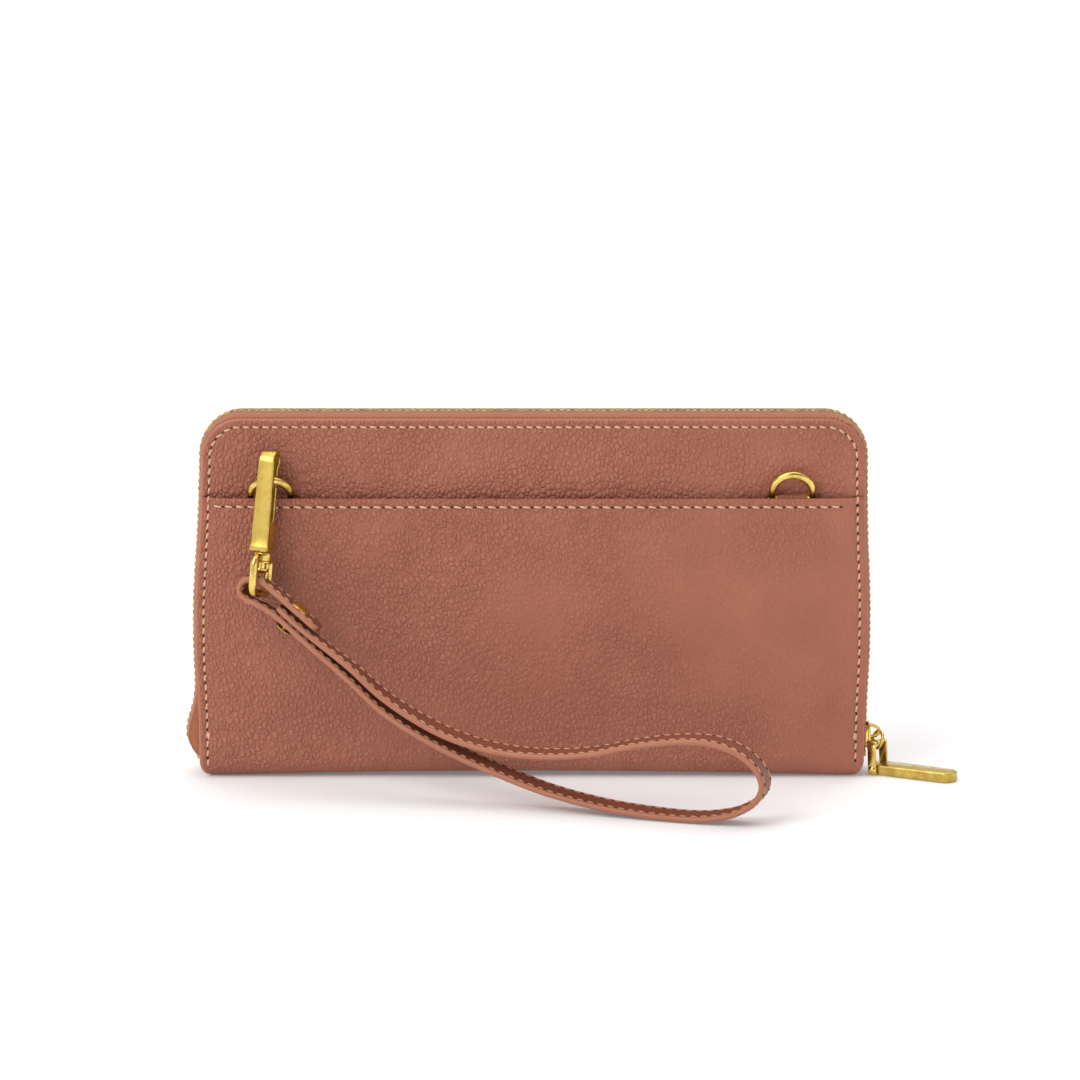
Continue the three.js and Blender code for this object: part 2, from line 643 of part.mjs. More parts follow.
function strapRivet() {
  const [top, bottom] = [4.0, -3.9];
  const half = [
    [0, bottom - 0.8], [2.2, bottom - 0.7], [2.9, bottom], [1.0, bottom],
    [1.0, top], [2.9, top], [2.2, top + 0.7], [0, top + 0.8],
  ];
  const rivet = new THREE.LatheGeometry(half.map(([r, y]) => V2(r, y)), 14);
  rivet.applyMatrix4(rivetFrame());
  put("strap_rivet", rivet.applyMatrix4(strapFrame()), brass);
}

// ---- gussets and coin pocket ----------------------------------------------------------
function gusset(name, side, outerY, innerY) {
  const mid = (outerY + innerY) / 2;
  const sign = Math.sign(outerY - innerY);
  const t = 0.4;
  const shape = new THREE.Shape([
    V2(96 * side, outerY), V2(88.5 * side, mid), V2(96 * side, innerY),
    V2(96 * side, innerY + sign * t), V2(90 * side, mid), V2(96 * side, outerY - sign * t),
  ]);
  const fold = new THREE.ExtrudeGeometry(shape, { depth: 88, bevelEnabled: false });
  put(name, fold.translate(0, 0, 10), lining);
}

function gussets() {
  for (const [label, side] of [["left", -1], ["right", 1]]) {
    gusset(`gusset_front_${label}`, side, FRONT_LINING_Y[1] + GAP, -COIN_HALF_T - GAP);
    gusset(`gusset_back_${label}`, side, BACK_LINING_Y[0] - GAP, COIN_HALF_T + GAP);
  }
}

function coinPocket() {
  const wide = [-COIN_HALF_W, COIN_HALF_W];
  const front = [-COIN_HALF_T, -COIN_HALF_T + COIN_WALL];
  const rear = [COIN_HALF_T - COIN_WALL, COIN_HALF_T];
  const zip = COIN_ZIP_Z;
  put("coin_wall_front", box(wide, front, [LAYER_BOTTOM, zip - 4]), lining);
  put("coin_wall_rear", box(wide, rear, [LAYER_BOTTOM, 103]), lining);
  put("coin_top_band", box(wide, front, [zip + 4, 103]), lining);
  put("coin_tape_lower", box([-88, 88], front, [zip - 4 + GAP, zip - 1.1]), tape);
  put("coin_tape_upper", box([-88, 88], front, [zip + 1.1, zip + 4 - GAP]), tape);
  const teeth = [-1.1, 0.2];
  put("coin_teeth_lower", box([-86, 86], teeth, [zip - 0.8, zip - 0.15]), brass);
  put("coin_teeth_upper", box([-86, 86], teeth, [zip + 0.15, zip + 0.8]), brass);
  const sliderFront = box([-85, -78], [-2.1, -1.4], [zip - 2.4, zip + 2.4]);
  const lug = box([-82.4, -80.4], [-3.2, -2.0], [zip - 0.4, zip + 0.4]);
  put("coin_slider", join(sliderFront, lug), brass);
  const tab = new THREE.Shape([V2(-3, 1.6), V2(3, 1.6), V2(2.2, -16), V2(-2.2, -16)]);
  const eye = new THREE.Path();
  eye.absarc(0, -0.1, 1.2, 0, 360 * DEG);
  tab.holes.push(eye);
  put("coin_pull", plate(tab, [-3.0, -2.6]).translate(-81.4, 0, zip), brass);
}

frontPanel();
frontBoard();
backCover();
linings();
cardSlots();
slipPocket();
spine();
dRing("d_ring_left", -1, LEFT_TILT);
dRing("d_ring_right", 1, RIGHT_TILT);
dRingTab("d_ring_tab_left", -1);
dRingTab("d_ring_tab_right", 1);
zipHalves();
zipSlider();
pullRing();
pullShackle();
pullBarAndPin();
hookBody();
hookGate();
swivelRing();
wristStrap();
strapRivet();
gussets();
coinPocket();

export default wallet;
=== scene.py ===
# %% [markdown]
# # A zip around wallet with a wrist strap
#
# The wallet stands on its spine, zipped shut, with its strap clipped to the left D-ring.
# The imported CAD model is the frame: every piece below takes its place from it and rides on
# one of its bodies, so the covers open, the zip runs and the hook swings with the pieces on
# them. Sizes in this lesson are in millimetres, and one factor turns them to metres.

# %% Load the frame
import json
import math
import bpy
import numpy as np
from mathutils import Matrix, Vector


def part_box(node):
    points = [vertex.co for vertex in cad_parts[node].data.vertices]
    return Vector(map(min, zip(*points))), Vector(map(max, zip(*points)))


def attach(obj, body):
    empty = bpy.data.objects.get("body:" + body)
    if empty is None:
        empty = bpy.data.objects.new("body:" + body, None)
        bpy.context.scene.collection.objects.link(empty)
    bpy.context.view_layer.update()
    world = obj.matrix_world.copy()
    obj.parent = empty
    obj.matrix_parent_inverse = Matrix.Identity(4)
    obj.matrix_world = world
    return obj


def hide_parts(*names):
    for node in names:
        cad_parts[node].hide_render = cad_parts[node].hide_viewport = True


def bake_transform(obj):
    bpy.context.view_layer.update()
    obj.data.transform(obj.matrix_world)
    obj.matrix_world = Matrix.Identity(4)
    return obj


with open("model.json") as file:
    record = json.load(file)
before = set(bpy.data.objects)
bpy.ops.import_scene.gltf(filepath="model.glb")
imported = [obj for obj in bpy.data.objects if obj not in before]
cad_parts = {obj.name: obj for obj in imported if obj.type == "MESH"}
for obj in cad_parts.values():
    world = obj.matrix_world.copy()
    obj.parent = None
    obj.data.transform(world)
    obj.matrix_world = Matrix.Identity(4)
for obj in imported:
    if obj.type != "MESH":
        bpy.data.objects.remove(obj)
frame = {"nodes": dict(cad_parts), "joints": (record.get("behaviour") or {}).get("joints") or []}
nodes = frame["nodes"]
joints = {joint["name"]: joint for joint in frame["joints"]}
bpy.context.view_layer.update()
MM = 0.001


def joint_at(name):
    return Vector(joints[name]["pos_m"]) / MM


def joint_axis(name):
    return Vector(joints[name]["axis"]).normalized()


# %% [markdown]
# ## Camera
#
# The camera stands a little over a metre in front of the wallet and 30 cm up, and looks
# slightly down. A long lens from far off keeps the covers' sides nearly parallel. It is made
# first, because the strap's route is judged by what the camera sees.

# %% Make the camera
camera_data = bpy.data.cameras.new("camera")
camera_data.sensor_width = 36
camera_data.lens = 134
camera = bpy.data.objects.new("camera", camera_data)
camera.location = (0.0025, -1.1866, 0.2963)
camera.rotation_euler = (math.radians(90 - 10.745), 0, 0)
bpy.context.scene.collection.objects.link(camera)
bpy.context.scene.camera = camera

# %% [markdown]
# ## Helpers for meshes
#
# Most pieces are grids of points: a sheet of leather, a tube, a strip. A grid could be made
# with modifiers from a plane, but rows of points worked out by formula follow the real
# surfaces closely and stay the same on each run. Solidify then gives a sheet its
# thickness and Bevel rounds its edges.

# %% Turn points into pieces
def ramp(value, low, high):
    """0 below low, 1 above high, and a smooth rise between."""
    t = np.clip((value - low) / (high - low), 0, 1)
    return t * t * (3 - 2 * t)


def bell(value, middle, width):
    """A smooth bump of height 1 about the middle."""
    return np.exp(-((value - middle) / width) ** 2)


def grid_faces(rows, columns, round_rows=False, round_columns=False):
    """Quads over rows x columns points; round_... joins the last row or column to the first."""
    faces = []
    for j in range(rows if round_rows else rows - 1):
        for i in range(columns if round_columns else columns - 1):
            k, right = (j + 1) % rows, (i + 1) % columns
            faces.append((j * columns + i, j * columns + right, k * columns + right, k * columns + i))
    return faces


def end_faces(rows, columns):
    """The two faces that close a swept grid at its first and last row."""
    last = (rows - 1) * columns
    return [tuple(range(columns))[::-1], tuple(last + i for i in range(columns))]


def make_piece(name, points, faces, material, body=None, slot=None, stands_for=(), sharp=50):
    """A mesh piece from points in millimetres. It rides on a CAD body and can replace CAD nodes."""
    mesh = bpy.data.meshes.new(name)
    mesh.from_pydata((np.asarray(points, float).reshape(-1, 3) * MM).tolist(), [], faces)
    mesh.validate()
    piece = bpy.data.objects.new(name, mesh)
    bpy.context.scene.collection.objects.link(piece)
    mesh.polygons.foreach_set("use_smooth", [True] * len(mesh.polygons))
    mesh.set_sharp_from_angle(angle=math.radians(sharp))
    if material:
        mesh.materials.append(material)
    if body:
        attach(piece, body)
    if stands_for:
        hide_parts(*stands_for)
    return piece


def settle(piece, sharp=50):
    """Applies the modifiers, so that the final mesh is what rides or bends."""
    bpy.context.view_layer.update()
    seen = piece.evaluated_get(bpy.context.evaluated_depsgraph_get())
    final = bpy.data.meshes.new_from_object(seen)
    piece.modifiers.clear()
    piece.data = final
    final.polygons.foreach_set("use_smooth", [True] * len(final.polygons))
    final.set_sharp_from_angle(angle=math.radians(sharp))
    return piece


def add_modifier(piece, kind, **settings):
    modifier = piece.modifiers.new(kind.lower(), kind)
    for key, value in settings.items():
        setattr(modifier, key, value)
    return modifier


def thicken(piece, thickness, edge_round, segments=2, offset=-1, sharper_than=50):
    """Gives a sheet its thickness, by default away from its outer face, and rounds its edges."""
    add_modifier(piece, "SOLIDIFY", thickness=thickness * MM, offset=offset)
    add_modifier(piece, "BEVEL", width=edge_round * MM, segments=segments, limit_method="ANGLE",
                 angle_limit=math.radians(sharper_than))
    return settle(piece)


# %% [markdown]
# ## Helpers for materials
#
# Each material is a small graph of nodes. The patterns read the object's own coordinates,
# which are the frame's metres, so a scale is one over the real size of a grain or a thread.

# %% Nodes and colours
def linear(code):
    """An sRGB hex colour as the linear values that the shader works in."""
    parts = [int(code[i:i + 2], 16) / 255 for i in (1, 3, 5)]
    return (*[c / 12.92 if c <= 0.04045 else ((c + 0.055) / 1.055) ** 2.4 for c in parts], 1)


def add_node(material, kind, sockets=(), stops=(), **settings):
    """Adds one node: its settings, then its sockets as numbers or as links, then any colour stops."""
    node = material.node_tree.nodes.new(kind)
    for key, value in settings.items():
        setattr(node, key, value)
    for socket, value in dict(sockets).items():
        if isinstance(value, bpy.types.NodeSocket):
            material.node_tree.links.new(value, node.inputs[socket])
        else:
            node.inputs[socket].default_value = value
    for i, (place, colour) in enumerate(stops):
        elements = node.color_ramp.elements
        stop = elements[i] if i < 2 else elements.new(place)
        stop.position, stop.color = place, colour
    return node


def new_material(name, **surface):
    """A material with one Principled shader, whose sockets take plain values from here."""
    material = bpy.data.materials.new(name)
    material.use_nodes = True
    shader = material.node_tree.nodes["Principled BSDF"]
    for socket, value in surface.items():
        shader.inputs[socket.replace("_", " ")].default_value = value
    return material, shader


def wire(material, output, shader, socket):
    material.node_tree.links.new(output, shader.inputs[socket])


# %% [markdown]
# ## Leather
#
# The covers are cowhide, milled in a drum so that its grain stands up in soft pebbles about
# a millimetre across, then dyed a warm tan. A flat image could be wrapped round them,
# but a Voronoi pattern makes the same net of creases at any size: the distance to a cell's
# border is the crease and the smooth distance to its middle is the pebble. Two noises bend
# the net and let the grain fade where the hide was stretched.

# %% Leather materials
def leather(name, dark, mid, light, edge, pebble, grain, roughness):
    """Milled leather. pebble is a cell's size in mm, grain the height of its relief in mm.

    The relief fades in patches and towards +x, where the hide was stretched flatter.
    """
    material, shader = new_material(name, Roughness=roughness, IOR=1.46)
    place = add_node(material, "ShaderNodeTexCoord").outputs["Object"]
    bend = add_node(material, "ShaderNodeTexNoise",
                    {"Vector": place, "Scale": 0.35 / (pebble * MM), "Detail": 2})
    shift = add_node(material, "ShaderNodeVectorMath", {0: bend.outputs["Color"], 1: (0.5, 0.5, 0.5)},
                     operation="SUBTRACT")
    moved = add_node(material, "ShaderNodeVectorMath",
                     {0: shift.outputs[0], 1: (pebble * 0.7 * MM,) * 3, 2: place}, operation="MULTIPLY_ADD")
    stretched = add_node(material, "ShaderNodeMapping",
                         {"Vector": moved.outputs[0], "Rotation": (0, 0.35, 0), "Scale": (1, 1, 0.72)})
    cells = 1 / (pebble * MM)
    border = add_node(material, "ShaderNodeTexVoronoi", {"Vector": stretched.outputs[0], "Scale": cells},
                      feature="DISTANCE_TO_EDGE")
    middle = add_node(material, "ShaderNodeTexVoronoi",
                      {"Vector": stretched.outputs[0], "Scale": cells, "Smoothness": 0.4},
                      feature="SMOOTH_F1")
    crease = add_node(material, "ShaderNodeMapRange", {"Value": border.outputs["Distance"], "From Max": 0.24},
                      interpolation_type="SMOOTHSTEP")
    dome = add_node(material, "ShaderNodeMapRange",
                    {"Value": middle.outputs["Distance"], "From Min": 0.1, "From Max": 0.75,
                     "To Min": 1, "To Max": 0}, interpolation_type="SMOOTHSTEP")
    pores = add_node(material, "ShaderNodeTexNoise", {"Vector": place, "Scale": 3200, "Detail": 3})
    patches = add_node(material, "ShaderNodeTexNoise", {"Vector": place, "Scale": 26, "Detail": 1})
    sides = add_node(material, "ShaderNodeSeparateXYZ", {0: place})
    slope = add_node(material, "ShaderNodeMath", {0: sides.outputs[0], 1: -2.2, 2: patches.outputs[0]},
                     operation="MULTIPLY_ADD")
    fade = add_node(material, "ShaderNodeMapRange", {"Value": slope.outputs[0], "From Min": 0.25,
                                                     "From Max": 0.6, "To Min": 0.35, "To Max": 1})
    rim = add_node(material, "ShaderNodeAttribute", attribute_name="rim")
    flat = add_node(material, "ShaderNodeMath", {0: 1.0, 1: rim.outputs["Fac"]}, operation="SUBTRACT",
                    use_clamp=True)
    relief = add_node(material, "ShaderNodeMath", {0: dome.outputs[0], 1: crease.outputs[0]}, operation="ADD")
    faded = add_node(material, "ShaderNodeMath", {0: relief.outputs[0], 1: fade.outputs[0]},
                     operation="MULTIPLY")
    shaped = add_node(material, "ShaderNodeMath", {0: faded.outputs[0], 1: flat.outputs[0]},
                      operation="MULTIPLY")
    height = add_node(material, "ShaderNodeMath", {0: pores.outputs[0], 1: 0.25, 2: shaped.outputs[0]},
                      operation="MULTIPLY_ADD")
    bump = add_node(material, "ShaderNodeBump",
                    {"Height": height.outputs[0], "Distance": grain * MM, "Strength": 1})
    tone = add_node(material, "ShaderNodeTexNoise", {"Vector": place, "Scale": 60, "Detail": 4})
    body = add_node(material, "ShaderNodeValToRGB", {"Fac": tone.outputs[0]},
                    [(0.25, linear(mid)), (0.75, linear(light))])
    # Painted shade: the creases are mixed towards the dark colour, and less so where the relief fades.
    calm = add_node(material, "ShaderNodeMapRange", {"Value": fade.outputs[0], "From Min": 0.35,
                                                     "To Min": 0.95, "To Max": 0.72})
    keep = add_node(material, "ShaderNodeMapRange", {"Value": crease.outputs[0], "To Min": calm.outputs[0]})
    grained = add_node(material, "ShaderNodeMix", {"Factor": keep.outputs[0], 6: linear(dark),
                                                   7: body.outputs["Color"]}, data_type="RGBA")
    painted = add_node(material, "ShaderNodeMix", {"Factor": rim.outputs["Fac"], 6: grained.outputs[2],
                                                   7: linear(edge)}, data_type="RGBA")
    wire(material, painted.outputs[2], shader, "Base Color")
    wire(material, bump.outputs[0], shader, "Normal")
    return material


# The first colour of each leather is the painted shade that its grain's creases are mixed towards.
hide = leather("milled_cowhide", "#7d4333", "#985842", "#a4634c", "#aa6a52", 1.3, 0.22, 0.48)
strap_hide = leather("strap_cowhide", "#62301f", "#7c402a", "#884a34", "#a2664c", 0.9, 0.06, 0.5)
print("leathers:", hide.name, strap_hide.name)

# %% [markdown]
# ## Thread, tape and linings
#
# The seams are sewn with a bonded polyester thread about 0.7 mm thick, lighter
# than the hide. The zip's tape is knitted, so it shows slanted loops, and the linings are a
# plain weave. Both are bump patterns here, since their yarns are far finer than the pieces.

# %% Woven materials
def woven(name, dark, light, yarn, relief, ways=("X", "Z"), mirror=(1, 1, 1), roughness=0.85):
    """A cloth of two sets of yarns, yarn mm apart; mirror turns the second set over."""
    material, shader = new_material(name, Roughness=roughness, Sheen_Weight=0.15, Sheen_Roughness=0.5)
    place = add_node(material, "ShaderNodeTexCoord").outputs["Object"]
    turned = add_node(material, "ShaderNodeMapping", {"Vector": place, "Scale": mirror})
    # A wave texture repeats after a distance of pi / 10 over its scale.
    scale = math.pi / 10 / (yarn * MM)
    warp, weft = [
        add_node(material, "ShaderNodeTexWave", {"Vector": laid, "Scale": scale, "Distortion": 0.6},
                 bands_direction=way) for way, laid in zip(ways, (place, turned.outputs[0]))]
    cross = add_node(material, "ShaderNodeMath", {0: warp.outputs["Fac"], 1: weft.outputs["Fac"]},
                     operation="MULTIPLY")
    fuzz = add_node(material, "ShaderNodeTexNoise", {"Vector": place, "Scale": 2500, "Detail": 3})
    height = add_node(material, "ShaderNodeMath", {0: fuzz.outputs[0], 1: 0.5, 2: cross.outputs[0]},
                      operation="MULTIPLY_ADD")
    colour = add_node(material, "ShaderNodeValToRGB", {"Fac": cross.outputs[0]},
                      [(0.0, linear(dark)), (0.7, linear(light))])
    bump = add_node(material, "ShaderNodeBump", {"Height": height.outputs[0], "Distance": relief * MM})
    wire(material, colour.outputs["Color"], shader, "Base Color")
    wire(material, bump.outputs[0], shader, "Normal")
    return material


tape_cloth = woven("knitted_polyester_tape", "#86462a", "#d58d62", 0.42, 0.22, ("DIAGONAL", "DIAGONAL"),
                   (1, -1, 1))
lining_cloth = woven("plain_weave_lining", "#94684f", "#b98d72", 0.5, 0.05, ("DIAGONAL", "DIAGONAL"),
                     (1, 1, -1))
thread = woven("bonded_polyester_thread", "#c08d68", "#f0c9a4", 0.35, 0.05, ("DIAGONAL", "X"), roughness=0.5)


def pit_material():
    """The needle holes: the hide's unfinished inside, in shadow."""
    material, shader = new_material("needle_hole", Roughness=0.9)
    place = add_node(material, "ShaderNodeTexCoord").outputs["Object"]
    speck = add_node(material, "ShaderNodeTexNoise", {"Vector": place, "Scale": 1500})
    colour = add_node(material, "ShaderNodeValToRGB", {"Fac": speck.outputs[0]},
                      [(0.3, linear("#1d0e0a")), (0.7, linear("#3a2018"))])
    wire(material, colour.outputs["Color"], shader, "Base Color")
    return material


needle_hole = pit_material()

# %% [markdown]
# ## Brass
#
# The fittings are brass-plated zinc: cast, brushed along the hook's and the bar's faces, and
# tumbled smooth on the wires. Brass is a metal, so its colour is the colour of its
# reflection, and a fine scratch pattern, drawn out along the brushing, breaks it up.

# %% Brass materials
def brass_finish(name, colour, worn, roughness, scratch, along=(1, 1, 1)):
    """Plated brass; scratch is the height of the brush lines in mm, along squeezes them."""
    material, shader = new_material(name, Metallic=1)
    place = add_node(material, "ShaderNodeTexCoord").outputs["Object"]
    drawn = add_node(material, "ShaderNodeMapping", {"Vector": place, "Scale": along})
    lines = add_node(material, "ShaderNodeTexNoise", {"Vector": drawn.outputs[0], "Scale": 5200, "Detail": 3})
    wear = add_node(material, "ShaderNodeTexNoise", {"Vector": place, "Scale": 420, "Detail": 5})
    tint = add_node(material, "ShaderNodeValToRGB", {"Fac": wear.outputs[0]},
                    [(0.35, linear(worn)), (0.62, linear(colour))])
    rough = add_node(material, "ShaderNodeMapRange",
                     {"Value": wear.outputs[0], "From Min": 0.3, "From Max": 0.7,
                                                      "To Min": roughness * 1.25, "To Max": roughness * 0.8})
    bump = add_node(material, "ShaderNodeBump", {"Height": lines.outputs[0], "Distance": scratch * MM})
    wire(material, tint.outputs["Color"], shader, "Base Color")
    wire(material, rough.outputs[0], shader, "Roughness")
    wire(material, bump.outputs[0], shader, "Normal")
    return material


brushed_brass = brass_finish("brushed_brass_plate", "#cfb35f", "#b69948", 0.32, 0.012, (1, 1, 0.12))
smooth_brass = brass_finish("tumbled_brass_wire", "#e6ca72", "#cfb058", 0.24, 0.003)
tooth_brass = brass_finish("stamped_zip_brass", "#d6b96f", "#a98c50", 0.34, 0.006)

# %% [markdown]
# ## The wrist strap
#
# The strap is one leather strip, 9.6 mm wide and folded double at its end round the swivel
# ring. It was lifted by the ring and lies in front of the wallet on its lower edge, so it
# bends only across its thin way. A cloth simulation could drop it there, but a stiff strip
# like this holds its bends: its route is a list of points that the strap passes through, and
# a smooth curve joins them. The route lies in one upright plane.

# %% Draw the strap's route
STRAP_ROUTE = [
    (6.2, 55.4), (15.6, 47.9), (28.6, 38.8), (40.4, 29.6), (57.6, 21.0), (73, 17.2), (89, 16.6),
    (103, 18.3), (116, 21.6), (130.8, 24.0), (140, 23.8), (147.5, 21.2), (152.6, 16.8),
    (154.2, 12), (152, 7.6), (146.5, 3.9), (139, 1.9), (130.8, 1.2), (114, 1.9), (103, 3.2),
    (89, 6.0), (73, 11.0), (57.6, 16.8), (40.4, 25.4), (28.6, 34.8), (15.6, 44.9), (6.4, 52.3),
    (1.0, 55.4), (-3.4, 57.2), (-4.9, 60.1), (-2.9, 62.7), (0.8, 62.8), (6.6, 59.0),
    (12, 54.7), (18.6, 49.5),
]
STRAP_W, STRAP_T = 9.6, 1.75
STRAP_YAW = math.radians(17)
STRAP_START = Vector((-80.4, -21.3, 0))
strap_along = Vector((math.cos(STRAP_YAW), -math.sin(STRAP_YAW), 0))
strap_across = Vector((-math.sin(STRAP_YAW), -math.cos(STRAP_YAW), 0))


def smooth_route(points, step):
    """A centripetal Catmull-Rom curve through the points, cut into equal steps."""
    p = [np.array(q, float) for q in points]
    p = [2 * p[0] - p[1], *p, 2 * p[-1] - p[-2]]
    line = []
    for a, b, c, d in zip(p, p[1:], p[2:], p[3:]):
        ta, tb, tc = [math.sqrt(np.linalg.norm(w - v)) for v, w in ((a, b), (b, c), (c, d))]
        leave = ((b - a) / ta - (c - a) / (ta + tb) + (c - b) / tb) * tb
        reach = ((c - b) / tb - (d - b) / (tb + tc) + (d - c) / tc) * tb
        for t in np.linspace(0, 1, 24, endpoint=False):
            line.append(b * (2 * t**3 - 3 * t**2 + 1) + c * (3 * t**2 - 2 * t**3)
                        + leave * (t**3 - 2 * t**2 + t) + reach * (t**3 - t**2))
    line.append(p[-2])
    line = np.array(line)
    run = np.concatenate([[0], np.cumsum(np.linalg.norm(np.diff(line, axis=0), axis=1))])
    stops = np.linspace(0, run[-1], round(run[-1] / step) + 1)
    return np.stack([np.interp(stops, run, line[:, k]) for k in range(line.shape[1])], 1), run[-1]


flat_route, strap_length = smooth_route(STRAP_ROUTE, 0.9)
nearer = np.array([[0.12], [0.35], [0.65]])
first, second, before_last, final = flat_route[0], flat_route[1], flat_route[-2], flat_route[-1]
flat_route = np.concatenate([[first], first + (second - first) * nearer, flat_route[1:-1],
                             final + (before_last - final) * nearer[::-1], [final]])
strap_run = np.concatenate([[0], np.cumsum(np.linalg.norm(np.diff(flat_route, axis=0), axis=1))])
strap_line = np.array([STRAP_START + strap_along * s + Vector((0, 0, z)) for s, z in flat_route])
print(f"strap length {strap_length:.1f} mm in {len(strap_line)} steps")

# %% [markdown]
# ## The strap's body
#
# The section is a flat bar with rounded, painted edges and a shallow groove where each seam
# runs. It is swept along the route; the `rim` attribute is 1 on the painted edges.

# %% Sweep the strap
def bar_section(width, thickness, seam_inset):
    """Half-round edges and grooved faces, as (across, up, painted) points round the bar."""
    h, w = thickness / 2, width / 2
    soft = 0.85
    points = []
    for side in (1, -1):
        for across in np.linspace(-1, 1, 15) * (w - soft):
            groove = 0.14 * math.exp(-((abs(across) - (w - seam_inset)) / 0.5) ** 2)
            points.append((side * across, side * (h - groove), 0.0))
        for turn in np.radians([15, 35, 55, 75]):
            points.append((side * (w - soft + soft * math.sin(turn)),
                           side * (h - soft + soft * math.cos(turn)), 1.0))
        for turn in np.radians([75, 55, 35, 15]):
            points.append((side * (w - soft + soft * math.sin(turn)),
                           -side * (h - soft + soft * math.cos(turn)), 1.0))
    return points


def route_normals(line):
    """Each point's direction along the line, and the direction square to it and to the strap's width."""
    along = np.gradient(line, axis=0)
    along /= np.linalg.norm(along, axis=1)[:, None]
    up = np.cross(np.array(strap_across), along)
    return along, up


SEAM_INSET = 1.5
section = bar_section(STRAP_W, STRAP_T, SEAM_INSET)
strap_dir, strap_up = route_normals(strap_line)
# The ring's bar leans, so near it the strap is rolled about its own line, and flat further on.
ring_bar = -Vector(joints["strap_hinge"]["axis"])
ROLL_GAIN, ROLLED_UNTIL, FLAT_FROM = 1.3, 18, 62
roll = (math.atan2(-ring_bar.z, math.hypot(ring_bar.x, ring_bar.y)) * ROLL_GAIN
        * (1 - ramp(flat_route[:, 0], ROLLED_UNTIL, FLAT_FROM)))
strap_side = np.tile(np.array(strap_across), (len(strap_line), 1)) + np.outer(np.sin(roll), (0, 0, 1))
strap_side -= strap_dir * np.sum(strap_side * strap_dir, axis=1)[:, None]
strap_side /= np.linalg.norm(strap_side, axis=1)[:, None]
strap_up = np.cross(strap_side, strap_dir)
# The two ends are cut with rounded corners.
END_ROUND = 2.2
to_end = np.minimum(np.minimum(strap_run, strap_run[-1] - strap_run), END_ROUND)
width = 1 - (END_ROUND - np.sqrt(END_ROUND**2 - (END_ROUND - to_end) ** 2)) / (STRAP_W / 2)
points = [p + side * a * w + up * u for p, side, up, w in zip(strap_line, strap_side, strap_up, width)
          for a, u, _ in section]
faces = grid_faces(len(strap_line), len(section), round_columns=True)
faces += end_faces(len(strap_line), len(section))
strap = make_piece("strap_leather", points, faces, strap_hide, "wrist_strap", "strap_leather",
                   ["wrist_strap"])
paint = strap.data.attributes.new("rim", "FLOAT", "POINT")
paint.data.foreach_set("value", np.tile([s[2] for s in section], len(strap_line)).astype(np.float32))
print("strap mesh:", len(strap.data.vertices), "points")

# %% [markdown]
# ## Stitches
#
# A sewing machine leaves short bars of thread that dive into a needle hole at each end. One
# could model a single stitch and array it along a curve; here a loop places each stitch on
# its own spot of the surface, because the seam dips and turns corners. A stitch is a thread
# of five rings whose ends sink below the leather, and the hole between two is a dimple
# painted dark for the shade inside it.

# %% Place stitches along a line
def evenly(line, ups, pitch, start=0.5):
    """Places at equal distances along a line, with the direction along it and the surface's own."""
    line, ups = np.asarray(line, float), np.asarray(ups, float)
    run = np.concatenate([[0], np.cumsum(np.linalg.norm(np.diff(line, axis=0), axis=1))])
    count = int((run[-1] - 2 * start * pitch) / pitch) + 1
    stops = (np.arange(count) + start) * pitch
    at = np.stack([np.interp(stops, run, line[:, k]) for k in range(3)], 1)
    up = np.stack([np.interp(stops, run, ups[:, k]) for k in range(3)], 1)
    ahead = np.stack([np.interp(stops + 0.3, run, line[:, k]) for k in range(3)], 1)
    behind = np.stack([np.interp(stops - 0.3, run, line[:, k]) for k in range(3)], 1)
    along = (ahead - behind) / np.linalg.norm(ahead - behind, axis=1)[:, None]
    up -= along * np.sum(up * along, axis=1)[:, None]
    return at, along, up / np.linalg.norm(up, axis=1)[:, None]


def stitch_mesh(places, length, radius, slant=0.17, sides=6):
    """Thread bars: each dives in at both ends and stands half its thickness proud between."""
    rings = [(-0.5, -0.9, 0.55), (-0.38, 0.1, 0.85), (0, 0.55, 1.0), (0.38, 0.1, 0.85), (0.5, -0.9, 0.55)]
    points, faces = [], []
    for at, along, up in zip(*places):
        side = np.cross(along, up)
        lean = along * math.cos(slant) + side * math.sin(slant)
        first = len(points)
        for t, rise, size in rings:
            middle = at + lean * t * length + up * rise * radius
            for k in range(sides):
                turn = 2 * math.pi * k / sides
                ray = math.cos(turn) * up + math.sin(turn) * np.cross(lean, up)
                points.append(middle + radius * size * ray)
        tube = grid_faces(len(rings), sides, round_columns=True) + end_faces(len(rings), sides)
        faces += [tuple(first + i for i in face) for face in tube]
    return points, faces


def hole_mesh(places, pitch, long, wide, deep):
    """Dimples halfway between stitches: flat lenses let into the surface, dark with painted shade."""
    points, faces = [], []
    for at, along, up in zip(*places):
        side = np.cross(along, up)
        centre = at + along * pitch / 2
        first = len(points)
        for height, size in ((0.5, 0.55), (0.15, 1.0), (-1.0, 0.8)):
            for k in range(8):
                turn = 2 * math.pi * k / 8
                points.append(centre + up * height * deep
                              + size * (along * long * math.cos(turn) + side * wide * math.sin(turn)))
        faces += [tuple(first + i for i in face)
                  for face in grid_faces(3, 8, round_columns=True) + end_faces(3, 8)]
    return points, faces


def join_meshes(parts):
    points, faces = [], []
    for more_points, more_faces in parts:
        faces += [tuple(len(points) + i for i in face) for face in more_faces]
        points += list(more_points)
    return points, faces


def sew(name, seams, pitch, body, length=0.74, radius=0.36, holes=True, slot=None):
    """Threads, and holes if wanted, along several seams as one piece each."""
    placed = [evenly(line, ups, pitch) for line, ups in seams]
    threads = join_meshes([stitch_mesh(p, pitch * length, radius) for p in placed])
    made = [make_piece(name + "_thread", *threads, thread, body, slot)]
    if holes:
        pits = join_meshes([hole_mesh(p, pitch, 0.56, 0.38, 0.2) for p in placed])
        made.append(make_piece(name + "_needle_holes", *pits, needle_hole, body, slot))
    return made


